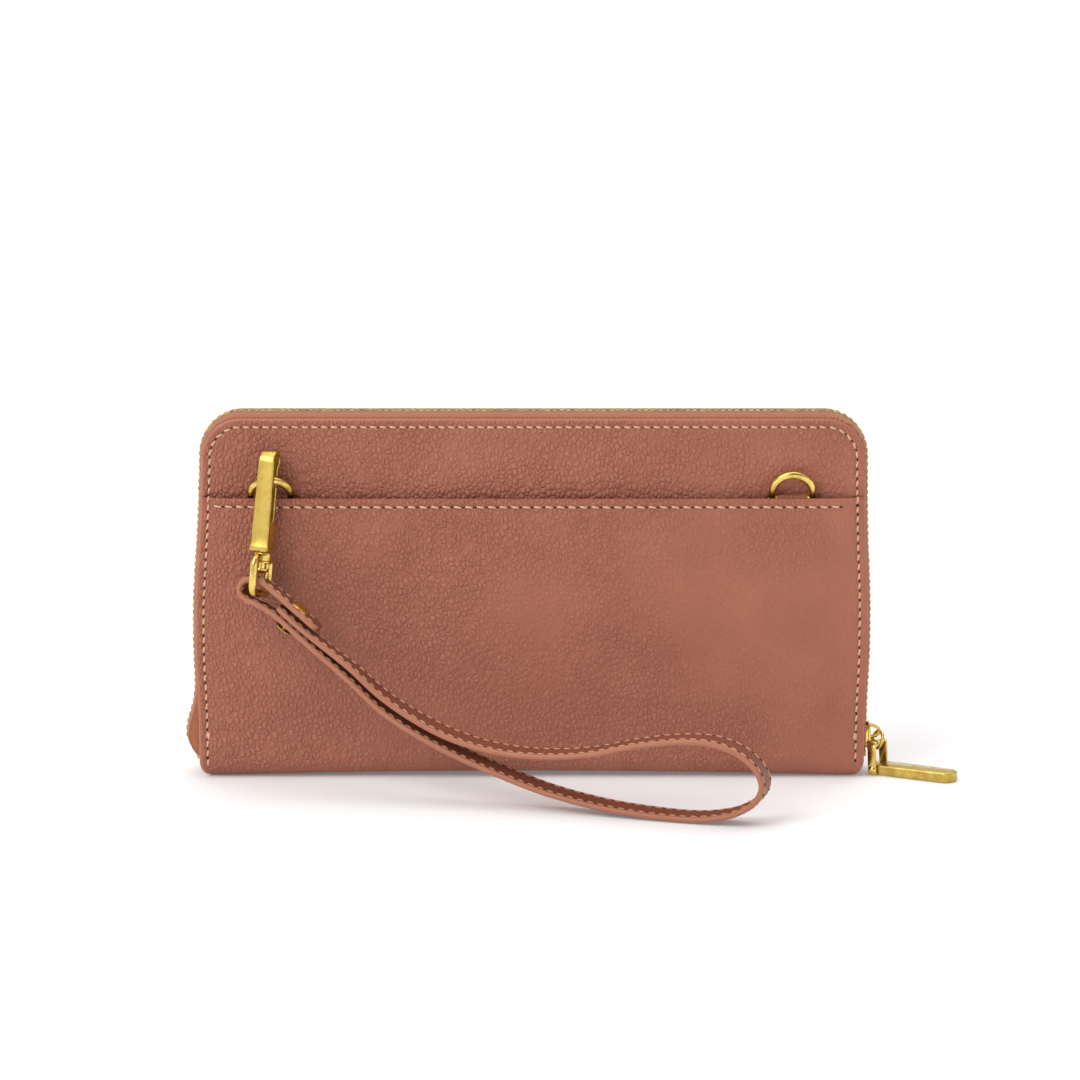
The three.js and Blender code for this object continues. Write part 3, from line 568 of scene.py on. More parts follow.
# %% Sew the strap
STRAP_PITCH = 3.1
strap_seams = []
for face_side in (1, -1):
    for edge_side in (1, -1):
        over = STRAP_T / 2 - 0.14
        row = strap_line + strap_up * face_side * over + strap_side * edge_side * (STRAP_W / 2 - SEAM_INSET)
        strap_seams.append((row[4:-4], (strap_up * face_side)[4:-4]))
strap_sewing = sew("strap", strap_seams, STRAP_PITCH, "wrist_strap", radius=0.2, slot="strap_leather")

# %% [markdown]
# ## Shapes turned, swept and cut
#
# The brass fittings are bent wires, turned studs and cut plates. Three helpers make those:
# a tube swept round a closed or open line, a profile turned on an axis, and an outline cut
# from plate with its edges rounded. A plain cylinder or cube would miss the rounded edges
# that catch the light, so every one of these carries them in its mesh.

# %% Tube, lathe and plate
def frame_of(x, y, z, origin):
    """The matrix of a local frame whose axes and origin are given in the wallet's frame, in mm."""
    return Matrix([(*row, o) for row, o in zip(Matrix((x, y, z)).transposed(), origin)] + [(0, 0, 0, 1)])


def placed_points(points, matrix):
    return [matrix @ Vector(p) for p in points]


def tube_mesh(line, radius, sides=16, closed=True):
    """A round wire along a line; an open one ends in domes."""
    line = [Vector(p) for p in line]
    count = len(line)
    heading = []
    for i in range(count):
        a = line[(i - 1) % count] if closed or i else line[0]
        b = line[(i + 1) % count] if closed or i < count - 1 else line[-1]
        heading.append((b - a).normalized())
    normal = heading[0].orthogonal().normalized()
    if closed:
        lift = sum(((b - a).cross(c - b) for a, b, c in zip(line, line[1:], line[2:])), Vector())
        normal = lift.normalized()
    stations = [(p, h, radius) for p, h in zip(line, heading)]
    if not closed:
        dome = [(-0.7, 0.7), (-0.95, 0.31)]
        first = [(line[0] + heading[0] * d * radius, heading[0], radius * r) for d, r in dome][::-1]
        final = [(line[-1] - heading[-1] * d * radius, heading[-1], radius * r) for d, r in dome]
        stations = first + stations + final
    points = []
    for place, along, size in stations:
        normal = (normal - along * normal.dot(along)).normalized()
        side = along.cross(normal)
        for k in range(sides):
            turn = 2 * math.pi * k / sides
            points.append(place + size * (math.cos(turn) * normal + math.sin(turn) * side))
    faces = grid_faces(len(stations), sides, round_rows=closed, round_columns=True)
    if not closed:
        faces += end_faces(len(stations), sides)
    return points, faces


def lathe_mesh(profile, sides=40):
    """A profile of (radius, height) pairs turned round the local Y axis, closed at both ends."""
    points = []
    for r, y in profile:
        points += [(r * math.cos(2 * math.pi * k / sides), y, r * math.sin(2 * math.pi * k / sides))
                   for k in range(sides)]
    faces = grid_faces(len(profile), sides, round_columns=True)
    if profile[0] != profile[-1]:
        faces += end_faces(len(profile), sides)
    return points, faces


def turned_piece(name, profile, sides, matrix, body, stands_for):
    """A brass part turned on a lathe."""
    points, faces = lathe_mesh(profile, sides)
    return make_piece(name, placed_points(points, matrix), faces, smooth_brass, body, "brushed_brass",
                      stands_for)


def plate_piece(name, outline, depth, matrix, material, body, slot, stands_for=(), edge=0.2):
    """An outline in local x and y, cut from plate between two depths in z, its edges rounded."""
    n = len(outline)
    points = [(x, y, z) for z in depth for x, y in outline]
    faces = end_faces(2, n) + grid_faces(2, n, round_columns=True)
    piece = make_piece(name, placed_points(points, matrix), faces, material, None, slot, stands_for)
    add_modifier(piece, "BEVEL", width=edge * MM, segments=3, limit_method="ANGLE",
                 angle_limit=math.radians(35))
    settle(piece, 40)
    if body:
        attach(piece, body)
    return piece


def arc(cx, cy, r, start, end, steps=8):
    """Points on an arc, from start to end in degrees."""
    return [(cx + r * math.cos(math.radians(a)), cy + r * math.sin(math.radians(a)))
            for a in np.linspace(start, end, steps + 1)]


# %% [markdown]
# ## The rivet in the strap
#
# A double-cap rivet squeezes the folded strap together just below the ring. Its caps are
# shallow domes with a rolled edge.

# %% Turn the rivet
RIVET = {"s": 10.2, "z": 52.3, "slope": -38.5}
rivet_up = Vector((0, 0, 1)) * math.cos(math.radians(RIVET["slope"])) - strap_along * math.sin(
    math.radians(RIVET["slope"]))
rivet_x = rivet_up.cross(strap_across)
rivet_frame = frame_of(rivet_x, rivet_up, strap_across,
                       STRAP_START + strap_along * RIVET["s"] + Vector((0, 0, RIVET["z"])))
rivet_profile = [(0.01, -4.75), (1.3, -4.68), (2.3, -4.4), (2.85, -4.1), (2.9, -3.9), (2.7, -3.86),
                 (1.0, -3.86), (1.0, 3.96), (2.7, 3.96), (2.9, 4.0), (2.85, 4.2), (2.3, 4.5), (1.3, 4.78),
                 (0.01, 4.85)]
rivet = turned_piece("strap_rivet_brass", rivet_profile, 40, rivet_frame, "wrist_strap", ["strap_rivet"])

# %% [markdown]
# ## The covers' shape
#
# Both covers share one outline: square at the spine, round at the two top corners. Filled
# and zipped, a wallet isn't a flat box: its sides belly a little low down, the leather is
# drawn into the seam, rolls over at the edge and puffs up again inside it. These formulas
# describe that once, for the hide, the seams and the zip alike.

# %% Formulas for the covers
cover_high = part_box("back_panel")[1]
HALF_W = cover_high.x / MM
TOP = cover_high.z / MM
BACK_Y = cover_high.y / MM
CORNER = 12.0
SPINE_R = 6.0
LEATHER = 1.0
SEAM = 2.55
HEM_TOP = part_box("slip_pocket")[1].z / MM
PANEL_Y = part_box("front_panel")[0].y / MM
POCKET_BULGE = 2.4


def edge_distance(x, z):
    """How far inside the cover's outline a point is, on its three open sides."""
    dx, dz = np.abs(x) - (HALF_W - CORNER), z - (TOP - CORNER)
    corner = CORNER - np.hypot(np.maximum(dx, 0), np.maximum(dz, 0))
    straight = np.minimum(HALF_W - np.abs(x), TOP - z)
    return np.where((dx > 0) & (dz > 0), corner, straight)


def drawn_in(x, z):
    """The cover's outline drawn in towards the top, more on the side where the hook hangs."""
    narrow = np.where(x < 0, 2.1, 0.9) * ramp(z, 42, 108)
    belly = 0.7 * ramp(z, 18, 40) * (1 - ramp(z, 50, 80))
    return x + np.sign(x) * (belly - narrow) * np.abs(x / HALF_W) ** 3


def seam_relief(d):
    """The hide's height near a seam: rolled edge, groove under the thread, puffed inside."""
    roll = -0.45 * np.clip(1 - d / 1.2, 0, 1) ** 2
    groove = -0.32 * bell(d, SEAM, 0.55)
    puff = 0.35 * (1 - np.exp(-np.maximum(0, d - SEAM) / 6))
    return roll + groove + puff


def soft_waves(x, z):
    """Slow hollows and swells of a hide over card, about a tenth of a millimetre high."""
    return (0.13 * np.sin(x / 17 + 0.8 * np.sin(z / 23)) * np.sin(z / 15 + 0.5)
            + 0.08 * np.sin(x / 7.3 + z / 11 + 1.1) * np.sin(z / 6.7 - x / 19))


def creases(x, z, places):
    """Short folds pressed into the hide: (x, z, direction in degrees, length, depth)."""
    total = np.zeros_like(x)
    for x0, z0, turn, length, depth in places:
        c, s = math.cos(math.radians(turn)), math.sin(math.radians(turn))
        u, v = (x - x0) * c + (z - z0) * s, -(x - x0) * s + (z - z0) * c
        total -= depth * np.exp(-((u / length) ** 2)) * np.exp(-((v / 0.75) ** 2))
        total += 0.6 * depth * np.exp(-((u / length) ** 2)) * np.exp(-(((v - 1.3) / 0.9) ** 2))
    return total


def pocket_y(x, z):
    """The slip pocket's outer face: sewn flat at the sides, standing off the panel at its mouth."""
    d = HALF_W - np.abs(x)
    across = 1 - np.abs(x / HALF_W) ** 12
    bulge = POCKET_BULGE * across * np.clip((z - SPINE_R) / (HEM_TOP - SPINE_R), 0, 1) ** 1.4
    hem = 0.28 * ramp(z, HEM_TOP - 3.2, HEM_TOP - 2.2) - 0.3 * bell(z, HEM_TOP - 2.5, 0.5)
    folds = creases(x, z, [(-93, 9, 62, 4, 0.2), (-91, 7, 40, 4, 0.16), (94, 10, -60, 4, 0.14)])
    return -BACK_Y - bulge - seam_relief(d) - 0.7 * soft_waves(x, z) - hem - folds


def panel_y(x, z):
    """The front panel's outer face above the pocket, dented where the ring tabs lie against it."""
    d = edge_distance(x, z)
    rim = 0.55 * (1 - ramp(d, 0.5, 9)) * ramp(z, HEM_TOP - 3, HEM_TOP + 1)
    dents = sum(1.5 * bell(x, side * 77.5, 8.5) * bell(z, 83.5, 4.2) for side in (-1, 1))
    folds = creases(x, z, [(-68, 92.5, 25, 5, 0.28), (-66, 90, 10, 6, 0.25), (-64, 96, 48, 5, 0.16),
                           (-88, 92, -30, 4, 0.14), (90, 91, -14, 5, 0.2), (88, 88.6, -6, 6, 0.2),
                           (66, 91, 18, 4, 0.12)])
    shown = ramp(z, HEM_TOP - 8, HEM_TOP)
    return PANEL_Y - rim - shown * (seam_relief(d) + 0.8 * soft_waves(x + 40, z)) + dents - folds


def back_y(x, z):
    return BACK_Y + seam_relief(edge_distance(x, z)) + soft_waves(x - 60, z)


print(f"covers {2 * HALF_W:.1f} x {TOP:.1f} mm, hem at {HEM_TOP:.1f} mm")

# %% [markdown]
# ## The leather wrap
#
# One piece of hide makes the pocket, the spine and the back cover, as it does on the real
# wallet: there is no seam at the bottom edge. Rows of points follow its path from the
# pocket's hem down the front, round the spine and up the back. It bends at the spine's rear
# corner when the wallet opens, so the front part follows one cover and the back part the
# other. Where the columns stand close together, near the seams, the groove has its shape.

# %% Cut and wrap the hide
near_edge = [0, 0.25, 0.55, 0.9, 1.3, 1.7, 2.05, 2.35, 2.6, 2.85, 3.2, 3.7, 4.4, 5.4, 6.8, 8.6, 10.8]
inner = np.linspace(-1, 1, 101) * (HALF_W - 13)
columns = np.array([d - HALF_W for d in near_edge] + list(inner) + [HALF_W - d for d in near_edge[::-1]])
SPINE_END_W = 96.5
SPINE_FLAT = BACK_Y - SPINE_R


def arch(x, z):
    """The spine lifts off the floor by a hair in the middle, between its two ends."""
    return 1.2 * np.clip(1 - (x / 92) ** 2, 0, 1) * (1 - ramp(z, 0, 14))


def wrap_rows():
    rows = []
    top_edge = [HEM_TOP - d for d in (0, 0.3, 0.7, 1.2, 1.7, 2.1, 2.5, 2.9, 3.4, 4.0)]
    for z in [*top_edge, *np.linspace(HEM_TOP - 5, SPINE_R + 1, 78)]:
        x = columns.copy()
        rows.append((x, pocket_y(x, z), np.full_like(x, z)))
    for turn in np.radians(np.linspace(90, 0, 13)):
        x = columns * (SPINE_END_W + (HALF_W - SPINE_END_W) * math.sin(turn)) / HALF_W
        start = pocket_y(columns, SPINE_R) + BACK_Y
        y = -SPINE_FLAT - (SPINE_R - start) * math.sin(turn)
        rows.append((x, y, np.full_like(x, SPINE_R * (1 - math.cos(turn)))))
    x = columns * SPINE_END_W / HALF_W
    for y in np.linspace(-SPINE_FLAT, SPINE_FLAT, 9)[1:-1]:
        rows.append((x, np.full_like(x, y), np.zeros_like(x)))
    for turn in np.radians(np.linspace(0, 90, 13)):
        x = columns * (SPINE_END_W + (HALF_W - SPINE_END_W) * math.sin(turn)) / HALF_W
        start = back_y(columns, SPINE_R) - BACK_Y
        y = SPINE_FLAT + (SPINE_R + start) * math.sin(turn)
        rows.append((x, y, np.full_like(x, SPINE_R * (1 - math.cos(turn)))))
    for z in np.linspace(SPINE_R + 1, TOP - CORNER, 88):
        rows.append((columns, back_y(columns, z), np.full_like(columns, z)))
    for turn in np.radians([7, 14, 21, 28, 35, 42, 48, 54, 60, 66, 71, 76, 81, 85.5, 90]):
        z = TOP - CORNER + CORNER * math.sin(turn)
        x = columns * (HALF_W - CORNER + CORNER * math.cos(turn)) / HALF_W
        rows.append((x, back_y(x, z), np.full_like(x, z)))
    return rows


def set_rim(piece, values):
    attribute = piece.data.attributes.new("rim", "FLOAT", "POINT")
    attribute.data.foreach_set("value", np.asarray(values, np.float32))


def sheet_points(rows):
    x, y, z = (np.array(v) for v in zip(*rows))
    z = z + arch(x, z)
    return np.stack([drawn_in(x, z), y, z], -1), x, z


rows = wrap_rows()[::-1]
wrap_points, x, z = sheet_points(rows)
wrap = make_piece("leather_wrap", wrap_points, grid_faces(len(rows), len(columns)), hide, None,
                  "pebbled_leather", ["slip_pocket", "spine", "spine_rear_bend", "back_panel"])
front_part = wrap_points[..., 1] < 0
side_gap = HALF_W - np.abs(columns)
to_edge = np.where(front_part, np.broadcast_to(side_gap, x.shape), np.minimum(side_gap, edge_distance(x, z)))
set_rim(wrap, (1 - ramp(to_edge, 0.1, 0.9)).ravel())
thicken(wrap, LEATHER, 0.42, 3)
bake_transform(wrap)
print("wrap:", len(wrap.data.vertices), "points")

# %% [markdown]
# ## The front panel
#
# Behind the pocket lies a second piece of hide, sewn in with it at the sides. Its upper part
# shows above the hem, and it gives way behind the two ring tabs.

# %% Make the front panel
panel_rows = []
for z in [*np.linspace(SPINE_R + 0.5, 78, 24), *np.linspace(79, TOP - CORNER, 30)]:
    panel_rows.append((columns, panel_y(columns, z), np.full_like(columns, z)))
for turn in np.radians([5, 10, 15, 20, 25, 30, 35, 40, 45, 50, 55, 60, 64, 68, 72, 76, 80, 84, 87, 90]):
    z = TOP - CORNER + CORNER * math.sin(turn)
    x = columns * (HALF_W - CORNER + CORNER * math.cos(turn)) / HALF_W
    panel_rows.append((x, panel_y(x, z), np.full_like(x, z)))
panel_points, x, z = sheet_points(panel_rows)
panel = make_piece("front_panel_leather", panel_points, grid_faces(len(panel_rows), len(columns)), hide,
                   None, "pebbled_leather", ["front_panel"])
set_rim(panel, (1 - ramp(edge_distance(x, z), 0.1, 0.9)).ravel())
thicken(panel, 0.8, 0.35, 3)
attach(panel, "front_cover")

# %% [markdown]
# ## The seams round the covers
#
# A row of stitches runs 2.5 mm inside the edge, up one side, over the top and down the other,
# on both covers, and one more row holds the pocket's hem.

# %% Sew the covers
def rim_line(inset, bottom, steps_per_mm=1.0):
    """The outline, drawn in by an inset, from the bottom left over the top to the bottom right."""
    half, top, r = HALF_W - inset, TOP - inset, CORNER - inset
    line = [(-half, z) for z in np.arange(bottom, top - r, steps_per_mm)]
    line += [(x, z) for x, z in arc(-half + r, top - r, r, 180, 90, 16)]
    line += [(x, top) for x in np.arange(-half + r + 1, half - r, steps_per_mm)]
    line += [(x, z) for x, z in arc(half - r, top - r, r, 90, 0, 16)]
    line += [(half, z) for z in np.arange(top - r - 1, bottom, -steps_per_mm)]
    return np.array(line)


def seam_on(line, height, outward):
    """A seam's points on a cover's face, which turns in under the spine at its foot, and the way out."""
    x, z = line[:, 0], line[:, 1]
    turn = np.sqrt(1 - (1 - np.minimum(z / SPINE_R, 1)) ** 2)
    y = outward * (SPINE_FLAT + (np.abs(height(x, np.maximum(z, SPINE_R))) - SPINE_FLAT) * turn)
    x = drawn_in(x, z) * (SPINE_END_W + (HALF_W - SPINE_END_W) * turn) / HALF_W
    return np.stack([x, y, z], 1), np.tile([0.0, outward, 0.0], (len(x), 1))


PERIMETER_PITCH, HEM_PITCH = 2.9, 3.4
outline_seam = rim_line(SEAM, 3.5)


def front_height(x, z):
    return np.where(z < HEM_TOP, pocket_y(x, z), panel_y(x, z))


hem_x = np.arange(-HALF_W + SEAM + 1.2, HALF_W - SEAM - 1.0, 1.0)
hem_line = np.stack([hem_x, np.full_like(hem_x, HEM_TOP - 2.5)], 1)
front_seams = [seam_on(outline_seam, front_height, -1), seam_on(hem_line, pocket_y, -1)]
back_tacks = [np.array([(side * (HALF_W - SEAM - 0.4), z) for z in (11.6, 15.2)]) for side in (-1, 1)]
sew("front_rim", front_seams[:1], PERIMETER_PITCH, "front_cover", slot="pebbled_leather")
sew("front_back_tack", [seam_on(tack, front_height, -1) for tack in back_tacks], PERIMETER_PITCH,
    "front_cover",
    radius=0.42, holes=False, slot="pebbled_leather")
sew("pocket_hem", front_seams[1:], HEM_PITCH, "front_cover", slot="pebbled_leather")
sew("back_rim", [seam_on(outline_seam, back_y, 1)], PERIMETER_PITCH, "back_cover", slot="pebbled_leather")

# %% [markdown]
# ## The zip
#
# The zip runs from the bottom left corner over the top to the bottom right. Each half is a
# knitted tape, sewn between the hide and its lining, with brass teeth clamped on its bead.
# At the bottom left the tape's end bulges out past the covers. The back half is held by the
# stop at its lower end, so it bends there when the covers open.

# %% Knit the tapes
def zip_line(bottom_left, bottom_right, step=0.7):
    """Stations round the rim: place, outward direction, with the bulge at the lower left."""
    half, top = HALF_W, TOP
    line = [((-half, z), (-1, 0)) for z in np.arange(bottom_left, top - CORNER, step)]
    line += [((x, z), (math.cos(a), math.sin(a))) for (x, z), a in
             zip(arc(-half + CORNER, top - CORNER, CORNER, 180, 90, 26),
                 np.radians(np.linspace(180, 90, 27)))]
    line += [((x, top), (0, 1)) for x in np.arange(-half + CORNER + step, half - CORNER, step)]
    line += [((x, z), (math.cos(a), math.sin(a))) for (x, z), a in
             zip(arc(half - CORNER, top - CORNER, CORNER, 90, 0, 26), np.radians(np.linspace(90, 0, 27)))]
    line += [((half, z), (1, 0)) for z in np.arange(top - CORNER - step, bottom_right, -step)]
    return line


# The left side's bulge in mm, the height it is largest at, and how far it fades up and down.
EAR, EAR_Z, EAR_ABOVE, EAR_BELOW = 3.2, 12.5, 9.0, 5.5


def rim_place(place, out, u):
    """A point u mm outside the rim at that station, in x and z."""
    x, z = place[0] + out[0] * u, place[1] + out[1] * u
    ear = 0.0
    if place[0] < 0 and out[1] == 0:
        ear = EAR * math.exp(-((z - EAR_Z) / (EAR_ABOVE if z > EAR_Z else EAR_BELOW)) ** 2)
    ear *= float(np.clip((u + 2.5) / 2.5, 0, 1))
    return float(drawn_in(np.array(x), np.array(z))) - ear, z


TAPE_SECTION = [(-3.0, 7.9), (-0.9, 7.85), (0.05, 7.55), (0.55, 6.6), (0.8, 5.2), (0.95, 3.8), (1.05, 2.4),
                (0.95, 1.1), (0.45, 0.9), (0.3, 2.2), (0.25, 3.8), (0.1, 5.2), (-0.2, 6.3), (-0.9, 7.15),
                (-3.0, 7.3)]


def tape_piece(name, side, body, node, spread):
    """spread moves the sewn edge out to the hide; the lower ends tuck in under the spine's corner."""
    stations = zip_line(1.6, 1.6)
    points = []
    for place, out in stations:
        for u, y in TAPE_SECTION:
            px, pz = rim_place(place, out, u)
            tuck = 1 - ramp(pz, 0, 8)
            px -= math.copysign(4.5 * tuck, px)
            points.append((px, side * (y + spread * float(ramp(y, 4.5, 7.5))) * (1 - 0.35 * tuck), pz))
    n = len(TAPE_SECTION)
    faces = grid_faces(len(stations), n, round_columns=True)
    end = (len(stations) - 1) * n
    faces += [tuple(range(n)), tuple(end + i for i in range(n))]
    if side > 0:
        faces = [face[::-1] for face in faces]
    return make_piece(name, points, faces, tape_cloth, body, "zip_tape", [node])


tape_piece("knitted_tape_front", -1, "front_cover", "zip_tape_front", 0.2)
tape_back = tape_piece("knitted_tape_back", 1, None, "zip_tape_back", 1.1)

# %% [markdown]
# ## The teeth
#
# Each brass tooth is a little clamp with a nose that fits between two noses of the other
# row. Teeth on the two rows stand half a pitch apart. One tooth is modelled and a loop
# places it along the zip, because a run of teeth round a corner has to fan out.

# %% Stamp the teeth
def block(x, y, z, taper=0.0):
    """A block with cut corners between ranges in three directions; taper narrows its far end in y."""
    cut = 0.14 * min(x[1] - x[0], z[1] - z[0])
    points, faces = [], []
    for k, depth in enumerate((y[0], y[1])):
        t = taper * k
        outline = [(x[0] + cut + t, z[0] + t), (x[1] - cut - t, z[0] + t), (x[1] - t, z[0] + cut + t),
                   (x[1] - t, z[1] - cut - t), (x[1] - cut - t, z[1] - t), (x[0] + cut + t, z[1] - t),
                   (x[0] + t, z[1] - cut - t), (x[0] + t, z[0] + cut + t)]
        points += [(px, depth, pz) for px, pz in outline]
    return points, grid_faces(2, 8, round_columns=True) + end_faces(2, 8)


def tooth_mesh(size=1.0):
    """One tooth: x runs along the zip, y towards the other row, z out of the wallet."""
    clamp = block((-0.58, 0.58), (-2.3, -0.55), (-0.55, 1.4))
    neck = block((-0.42, 0.42), (-0.6, 0.1), (-0.2, 1.25))
    nose = block((-0.5, 0.5), (0.05, 0.62), (-0.1, 1.15), 0.14)
    points, faces = join_meshes([clamp, neck, nose])
    return np.array(points) * size, faces


def run_of_teeth(name, places, size, body, stands_for):
    """Places are (point, along, towards the other row, outward)."""
    tooth, tooth_faces = tooth_mesh(size)
    points, faces = [], []
    for at, along, across, out in places:
        faces += [tuple(len(points) + i for i in face) for face in tooth_faces]
        points += list(np.array(at) + tooth @ np.array([along, across, out]))
    return make_piece(name, points, faces, tooth_brass, body, "zip_brass", stands_for, sharp=30)


TOOTH_PITCH = 2.1
TEETH_BOTTOM = 7.0
CLEAR_OF_SLIDER = 15.4


def tooth_places(side):
    stations = zip_line(TEETH_BOTTOM, CLEAR_OF_SLIDER, 0.5)
    line = np.array([(p[0], 0, p[1]) for p, _ in stations])
    outs = np.array([(o[0], 0, o[1]) for _, o in stations])
    at, along, out = evenly(line, outs, TOOTH_PITCH, 0.25 if side < 0 else 0.75)
    places = []
    for a, v, o in zip(at, along, out):
        x, z = rim_place((a[0], a[2]), (round(o[0], 3), round(o[2], 3)), 0.0)
        places.append(((x, 0, z), v, (0, -side, 0), o))
    return places


front_places, back_places = tooth_places(-1), tooth_places(1)
run_of_teeth("brass_teeth_front", front_places, 1.0, "front_cover", ["zip_teeth_front"])
teeth_back = run_of_teeth("brass_teeth_back", back_places, 1.0, None, ["zip_teeth_back"])
for half in (tape_back, teeth_back):
    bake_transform(half)
print("teeth:", len(front_places), "and", len(back_places))

# %% [markdown]
# ## Stops and slider
#
# The slider runs on the right-hand side: two plates joined by a post, with the teeth between
# them. Its wide end faces the open end of the zip, below. A small eye on the outer plate
# holds the pull. Plates cut from an outline show how such parts are stamped from sheet.

# %% Build the slider and the stops
side_frame = frame_of((0, 1, 0), (0, 0, 1), (1, 0, 0), (0, 0, 0))
outer_low, outer_high = [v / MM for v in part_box("zip_slider_body")]
SLIDER_SHAPE = [(-3.2, 15), (-2.6, 15.1), (2.6, 15.1), (3.2, 15), (3.55, 12.8), (4, 10.6), (4, 8.4),
                (3.7, 7.5), (3.1, 7.0), (1.2, 6.9), (0.7, 7.5), (-0.7, 7.5), (-1.2, 6.9), (-3.1, 7.0),
                (-3.7, 7.5), (-4, 8.4), (-4, 10.6), (-3.55, 12.8)]
plate_piece("slider_outer_plate", SLIDER_SHAPE[::-1], (outer_high.x - 0.8, outer_high.x + 0.1), side_frame,
            smooth_brass,
            "zip_slider", "zip_brass", ["zip_slider_body"], edge=0.3)
plate_piece("slider_inner_plate", SLIDER_SHAPE[::-1], (outer_low.x, outer_low.x + 0.9), side_frame,
            smooth_brass,
            "zip_slider", "zip_brass", edge=0.3)
post_shape = [(-0.35, 7.2), (0.35, 7.2), (0.5, 8.2), (0.3, 9.4), (-0.3, 9.4), (-0.5, 8.2)]
plate_piece("slider_post", post_shape, (outer_low.x + 0.8, outer_high.x - 0.7), side_frame, smooth_brass,
            "zip_slider", "zip_brass", edge=0.1)
for side, label in ((-1, "front"), (1, "back")):
    wall = [(side * 3.35, 8.4), (side * 3.95, 8.4), (side * 3.95, 10.6), (side * 3.2, 14.6),
            (side * 2.75, 14.6),
            (side * 3.35, 10.6)]
    plate_piece(f"slider_wall_{label}", wall[::side], (outer_high.x - 1.6, outer_high.x - 0.6), side_frame,
                smooth_brass, "zip_slider", "zip_brass", edge=0.15)
    stop_low, stop_high = [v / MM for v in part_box(f"zip_end_stop_{label}")]
    stop = [(stop_low.y, stop_low.z), (stop_high.y, stop_low.z), (stop_high.y, stop_high.z),
            (stop_low.y, stop_high.z)]
    end_stop = plate_piece(f"brass_end_stop_{label}", stop, (stop_low.x, stop_high.x), side_frame,
                           tooth_brass,
                           "front_cover" if label == "front" else None, "zip_brass",
                           [f"zip_end_stop_{label}"], edge=0.3)
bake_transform(end_stop)

stop_low, stop_high = [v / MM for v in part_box("zip_bottom_stop")]
stop = [(stop_low.y, stop_low.z), (stop_high.y, stop_low.z), (stop_high.y, stop_high.z),
        (stop_low.y, stop_high.z)]
plate_piece("brass_bottom_stop", stop, (stop_low.x, stop_high.x), side_frame, tooth_brass, "front_cover",
            "zip_brass", ["zip_bottom_stop"], edge=0.4)

eye = joint_at("pull_ring_hinge")
crown_half = [(102.0, 15.0), (103.4, 14.75), (104.6, 14.2), (105.5, 13.4), (105.75, 12.4), (105.4, 11.4),
              (104.4, 10.7), (103.2, 10.4), (102.0, 10.3), (102.0, 11.2), (103.2, 11.3), (104.2, 11.7),
              (104.7, 12.3), (104.75, 12.9), (104.2, 13.5), (103.2, 13.9), (102.0, 14.0)]
crown_frame = frame_of((1, 0, 0), (0, 0, 1), (0, -1, 0), (0, eye.y, 0))
plate_piece("slider_crown", crown_half[::-1], (-0.7, 0.7), crown_frame, smooth_brass, "zip_slider",
            "zip_brass",
            ["zip_slider_crown"], edge=0.2)

# %% [markdown]
# ## The zip pull
#
# A split ring hangs in the slider's eye, a strip bent into a U hangs in the ring, and a pin
# through its ends carries the bar, whose far end lies on the floor. The wire ring is an
# open C, with a gap of 34 degrees.

# %% Bend the ring, the shackle and the bar
ring_low, ring_high = [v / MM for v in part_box("pull_ring")]
ring_centre = (ring_low + ring_high) / 2
ring_along = joint_axis("pull_ring_hinge")
ring_down = (ring_centre - eye).normalized()
ring_side = (ring_along - ring_down * ring_along.dot(ring_down)).normalized()
PULL_RING_R, PULL_WIRE = 2.7, 0.5
ring_line = [ring_centre + PULL_RING_R * (math.cos(a) * ring_down + math.sin(a) * ring_side)
             for a in np.radians(np.linspace(-192, 134, 60))]
ring_mesh = tube_mesh(ring_line, PULL_WIRE, 14, closed=False)
make_piece("pull_ring_wire", *ring_mesh, smooth_brass, "pull_ring", "brushed_brass", ["pull_ring"])

pin = joint_at("pull_bar_hinge")
bar_across = -joint_axis("pull_bar_hinge")
bar_along = bar_across.cross(Vector((0, 0, 1)))
shackle_up = (Vector((0, 0, 1)) - bar_along * 0.05).normalized()
shackle_frame = frame_of(bar_across, shackle_up, bar_across.cross(shackle_up), pin)
ARM, STRIP_T, REACH, BEND = 4.8, 1.0, 8.4, 1.9
shackle_outer = [(-ARM, -1.45), *arc(-ARM + BEND, REACH - BEND, BEND, 180, 90),
                 *arc(ARM - BEND, REACH - BEND, BEND, 90, 0), (ARM, -1.45)]
inner_arm, inner_bend = ARM - STRIP_T, BEND - STRIP_T
shackle_inner = [(inner_arm, -1.45), *arc(inner_arm - inner_bend, REACH - BEND, inner_bend, 0, 90),
                 *arc(-inner_arm + inner_bend, REACH - BEND, inner_bend, 90, 180), (-inner_arm, -1.45)]
plate_piece("shackle_strip", (shackle_outer + shackle_inner)[::-1], (-1.3, 1.3), shackle_frame, smooth_brass,
            "pull_shackle", "brushed_brass", ["pull_shackle"], edge=0.28)
pin_profile = [(0.01, -5.3), (0.6, -5.26), (1.05, -5.1), (1.2, -4.85), (0.75, -4.8), (0.75, 4.8), (1.2, 4.85),
               (1.05, 5.1), (0.6, 5.26), (0.01, 5.3)]
pin_frame = frame_of(bar_across.cross(Vector((0, 0, 1))), bar_across, Vector((0, 0, 1)), pin)
turned_piece("shackle_pin", pin_profile, 28, pin_frame, "pull_shackle", ["pull_pin"])

